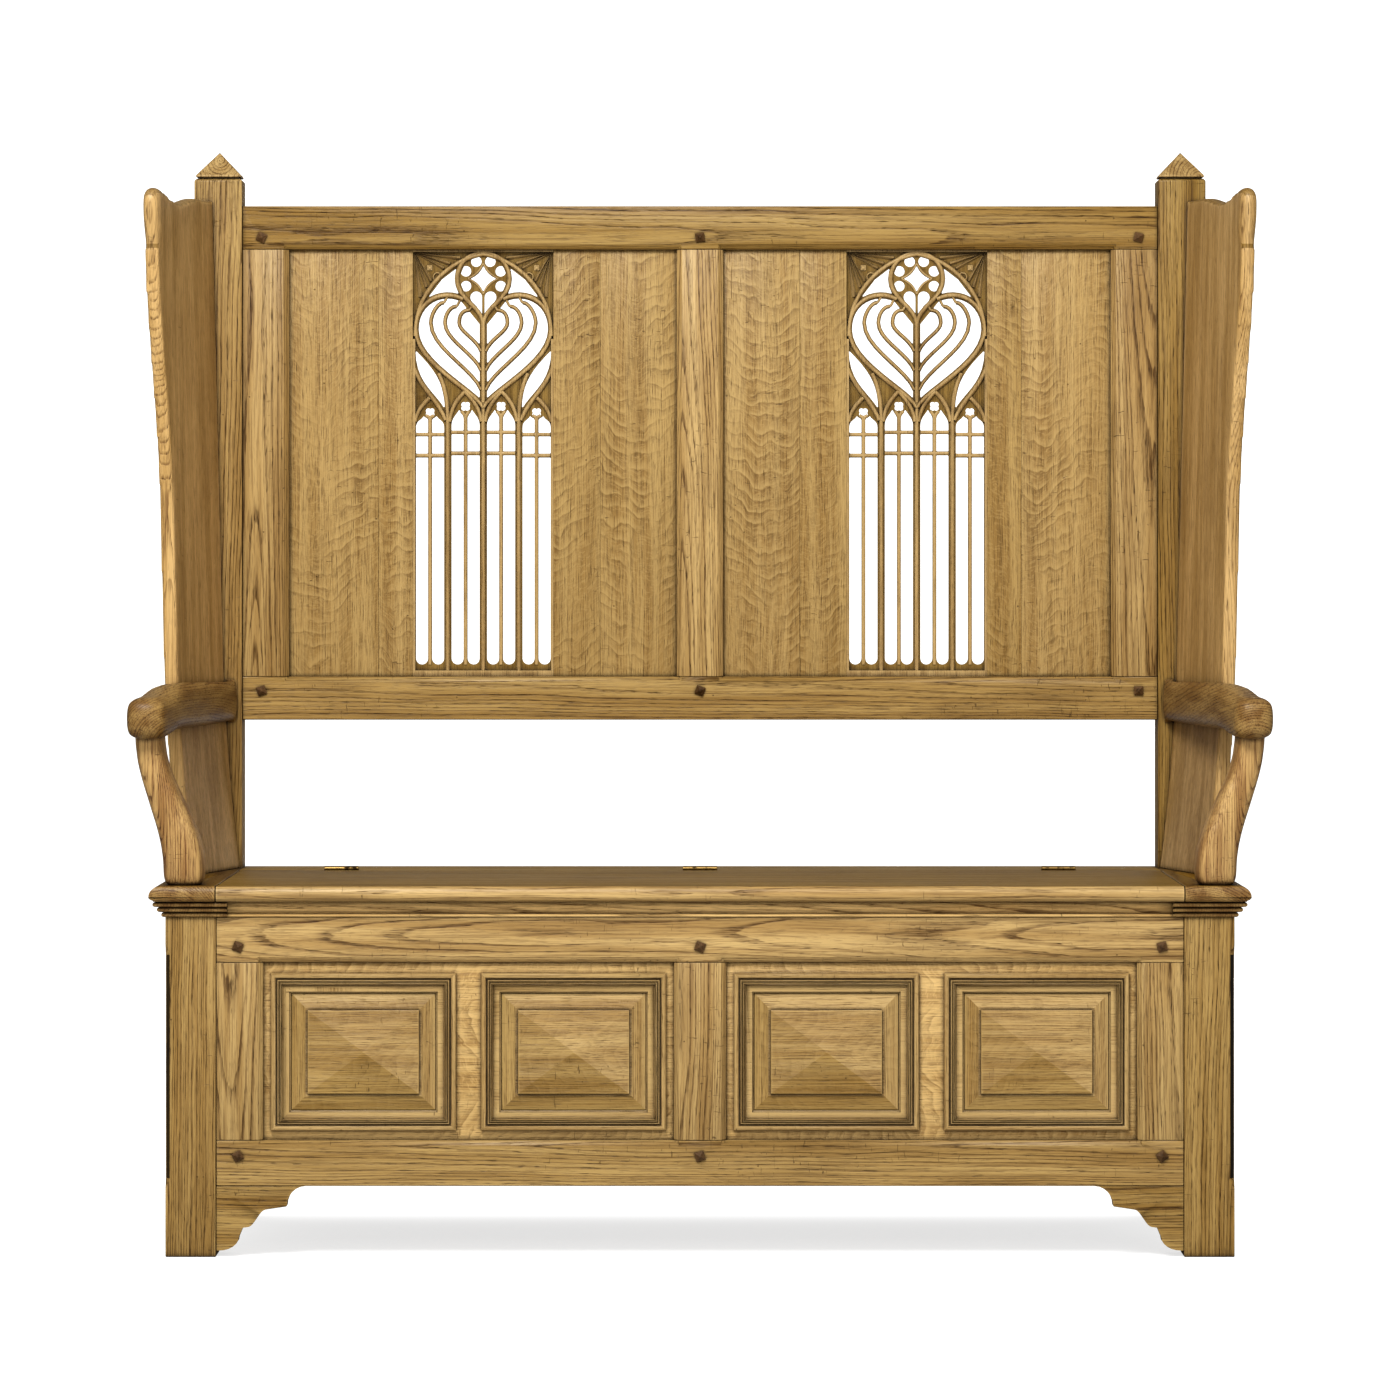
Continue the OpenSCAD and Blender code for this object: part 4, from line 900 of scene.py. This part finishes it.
def build_tracery(side):
    """The pierced plate, set back behind the ribs, with the carving that stands on it."""
    node = "tracery_" + side
    low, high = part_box(node)
    opening_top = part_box("back_top_rail")[0].z
    bm = rough_out(node)
    middle_y = (low.y + high.y) / 2
    for v in bm.verts:
        if v.co.y < middle_y:
            v.co.y += PLATE_DROP * MM
    plate_y = low.y + PLATE_DROP * MM
    place = ((low.x + high.x) / 2, opening_top, plate_y)
    add_ribs(bm, main_ribs(), place, MAIN_RIB)
    add_ribs(bm, nested_ribs(), place, HEART_RIB)
    add_ribs(bm, rose_star(), place, STAR_RIB)
    add_ribs(bm, glazing_bars(), place, GLAZING_RIB)
    add_spandrels(bm, place)

    # the raised border: foot, sides and top, let 1 mm into the plate
    edge, sunk, shy = 3.2 * MM, plate_y + 0.001, low.y + 0.0002
    foot = opening_top + FIELD_FOOT * MM
    spring = opening_top + SPRING * MM
    add_block(bm, low, (high.x, sunk, foot))
    for x0, x1 in ((low.x, low.x + edge), (high.x - edge, high.x)):
        add_block(bm, (x0, shy, foot), (x1, sunk, spring))
    add_block(bm, (low.x, shy, opening_top - 3 * MM), (high.x, sunk, high.z))

    saw_whole(bm, node)
    # painted shade: the sunk plate's face and the walls of its openings are darkened, so each rib
    # shows a dark quirk at both sides
    darken(bm, lambda f: abs(f.calc_center_median().y - plate_y) < 0.0003
           and f.normal.y < -0.9, -0.42)
    darken(bm, lambda f: abs(f.normal.y) < 0.2 and f.calc_center_median().y > plate_y, -0.5)
    finish_piece(bm, node, "tracery", smooth=40)


for side in SIDES:
    build_tracery(side)

# ---- wings, arms and their supports ----
EAR_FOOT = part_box("back_top_rail")[0].z - 0.012     # where the ear starts
EAR_DEPTH = 0.045         # how far its round nose reaches back
END_KEPT = 0.002          # how much of a joined end stays unworn


def remeshed(node, voxel, lifted=None):
    """A fine even mesh of a CAD node; lifted(v) may move its corners first."""
    bm = rough_out(node)
    if lifted:
        for v in bm.verts:
            lifted(v)
    bmesh.ops.triangulate(bm, faces=bm.faces)
    mesh = bpy.data.meshes.new(node)
    bm.to_mesh(mesh)
    bm.free()
    holder = bpy.data.objects.new(node + "_bench", mesh)
    bpy.context.scene.collection.objects.link(holder)
    remesh = holder.modifiers.new("remesh", "REMESH")
    remesh.mode = "VOXEL"
    remesh.voxel_size = voxel * MM
    bm = bmesh.new()
    bm.from_mesh(harvest(holder))
    return bm


def wear_down(bm, chosen, rounds):
    """Rubs the chosen corners of a fine mesh smooth."""
    loose = [v for v in bm.verts if chosen(v.co)]
    for _ in range(rounds):
        bmesh.ops.smooth_vert(bm, verts=loose, factor=0.5, use_axis_x=True, use_axis_y=True,
                              use_axis_z=True)


def build_wing(side):
    """A wing board: its arrises are worn, and the ear at its top has a full round nose."""
    node = "wing_" + side
    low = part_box(node)[0]
    free_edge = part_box("rear_post_" + side)[0].y - 0.004
    ear_back = low.y + EAR_DEPTH
    bm = remeshed(node, 2.8)
    wear_down(bm, lambda p: p.y < free_edge and p.z > low.z + END_KEPT, 4)
    wear_down(bm, lambda p: p.y < ear_back and p.z > EAR_FOOT, 26)
    wear_down(bm, lambda p: p.y < free_edge and p.z > EAR_FOOT, 6)
    bm.normal_update()
    blend_in = 0.03
    for v in bm.verts:
        if v.co.y < ear_back and v.co.z > EAR_FOOT:
            fade = (min(1.0, (v.co.z - EAR_FOOT) / blend_in)
                    * min(1.0, (ear_back - v.co.y) / blend_in))
            v.co += v.normal * 2.2 * MM * fade
    # painted light: the left wing is made lighter than the right, to make up for the key lamp on
    # the left leaving its inner face in more shade
    saw(bm, node, "z", "x", cut=QUARTER, taper=0.02, tone=0.02,
        shade=0.36 if side == "left" else 0.25)
    darken(bm, lambda f: f.normal.z > 0.35 and f.calc_center_median().z > EAR_FOOT, -0.45)
    darken(bm, lambda f: f.normal.y < -0.5 and 0 < f.calc_center_median().z - EAR_FOOT < 0.008,
           -0.55)
    darken(bm, lambda f: f.normal.y < -0.5 and f.calc_center_median().z < EAR_FOOT, 0.12)
    finish_piece(bm, node, "wings", smooth=50)


def build_worn(bm, node, low, high, swell, rounds, **cut):
    """A piece worn round by hands between two places, low and high, on axis 0, 1 or 2, and then
    swelled a little, because wearing it down makes it thinner."""
    axis = low[0]
    wear_down(bm, lambda p: low[1] < p[axis] < high, rounds)
    bm.normal_update()
    for v in bm.verts:
        push = v.normal * swell * MM
        if not low[1] < v.co[axis] < high:
            push[axis] = 0.0
        v.co += push
    saw(bm, node, **cut)
    finish_piece(bm, node, "arms", smooth=70)


for side in SIDES:
    build_wing(side)
    node = "arm_" + side
    arm_low, arm_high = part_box(node)
    build_worn(remeshed(node, 2.6), node, (1, arm_low.y - 1), arm_high.y - END_KEPT,
               swell=2.6, rounds=80, grain="y", face="z", shade=-0.12)

    def raise_head(v):
        if v.co.z > arm_low.z - 0.012:
            v.co.z += 0.008

    node = "arm_support_" + side
    build_worn(remeshed(node, 2.6, raise_head), node, (2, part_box(node)[0].z + END_KEPT),
               arm_low.z + 0.005, swell=4.0, rounds=64, grain="z", face="y", cut=RIFT, shade=0.4)

# ---- pegs ----


PEG_LENGTH, PEG_HEAD = 0.031, 5 * MM      # a whole peg, and the head that stands out


def build_pegs():
    """Every peg of the node, each on its own place with its head let in by a hair."""
    spots = []
    for p in node_middles("pegs"):
        face = p.y - PEG_LENGTH / 2 + PEG_HEAD
        spots.append((p.x, face - PEG_HEAD / 2 + 0.0002, p.z))
    mesh = bpy.data.meshes.new("peg_spots")
    mesh.from_pydata(spots, [], [])
    pegs = grow(PEG_TREE, mesh, Material=MATERIALS["pegs"])
    bm = bmesh.new()
    bm.from_mesh(pegs)
    bpy.data.meshes.remove(pegs)
    saw(bm, "pegs", "y", "x", cut=RIFT, tone=0.2)
    finish_piece(bm, "pegs", "pegs", smooth=20)


build_pegs()

# ---- brass ----
for node, body in (("hinge_fixed_leaves", "base"), ("hinge_pins", "base"),
                   ("hinge_fixed_screws", "base"), ("hinge_moving_leaves", "lid"),
                   ("hinge_moving_screws", "lid")):
    plain_piece(node, "brass", "x", "z", arris=0.25, body=body)

# ---- room ----


def build_room():
    """A white floor with a painted shadow under the pew, a white surround, soft light from above
    and in front, and the camera.
    """
    bpy.ops.mesh.primitive_plane_add(size=60)
    floor = bpy.context.object
    floor.name = "floor"
    paper = bpy.data.materials.new("white_floor_with_painted_shadow")
    paper.use_nodes = True
    shader = paper.node_tree.nodes["Principled BSDF"]
    shader.inputs["Base Color"].default_value = (0.4, 0.4, 0.4, 1.0)
    shader.inputs["Roughness"].default_value = 1.0
    shader.inputs["Specular IOR Level"].default_value = 0.0
    shader.inputs["Emission Color"].default_value = (1.0, 1.0, 1.0, 1.0)
    seen = add(paper.node_tree, "ShaderNodeLightPath").outputs["Is Camera Ray"]
    # painted shadow: the floor's glow seen by the camera drops where ambient occlusion finds the
    # pew over it
    painted_floor_shadow = add(paper.node_tree, "ShaderNodeAmbientOcclusion", Distance=0.45).outputs["AO"]
    floor_glow_with_painted_shadow = calc(paper.node_tree, "ADD", 0.56, calc(paper.node_tree, "MULTIPLY", painted_floor_shadow, 0.42))
    plug(paper.node_tree, shader.inputs["Emission Strength"],
         calc(paper.node_tree, "MULTIPLY", seen, floor_glow_with_painted_shadow))
    floor.data.materials.append(paper)

    scene = bpy.context.scene
    world = bpy.data.worlds.new("surround")
    scene.world = world
    world.use_nodes = True
    tree = world.node_tree
    tree.nodes.clear()
    seen = add(tree, "ShaderNodeLightPath").outputs["Is Camera Ray"]
    level = calc(tree, "ADD", 0.22, calc(tree, "MULTIPLY", seen, 1.0))
    light = add(tree, "ShaderNodeBackground", Color=(1, 1, 1, 1), Strength=level)
    add(tree, "ShaderNodeOutputWorld", Surface=light.outputs[0])

    for name, place, size, power in (
            ("key", (-1.0, -3.9, 4.4), 1.6, 225),
            ("fill", (0.7, -6.5, 1.5), 3.0, 178),
            ("rear", (0.6, 5.5, 0.8), 2.4, 150)):
        lamp = bpy.data.lights.new(name, "AREA")
        lamp.size = size
        lamp.energy = power
        holder = bpy.data.objects.new(name, lamp)
        holder.location = place
        aim = Vector((0, 0, 0.7)) - Vector(place)
        holder.rotation_euler = aim.to_track_quat("-Z", "Y").to_euler()
        holder.visible_camera = False
        holder.visible_glossy = name == "key"      # the others would glare on the seat
        scene.collection.objects.link(holder)

    lens = bpy.data.cameras.new("camera")
    lens.lens = 171.7
    lens.sensor_width = 36
    lens.shift_y = -0.097
    lens.clip_end = 100
    camera = bpy.data.objects.new("camera", lens)
    camera.location = (0, -8.74, 0.88)
    camera.rotation_euler = (math.radians(90), 0, 0)
    scene.collection.objects.link(camera)
    scene.camera = camera
    scene.view_settings.view_transform = "Standard"
    scene.view_settings.look = "Medium High Contrast"


build_room()
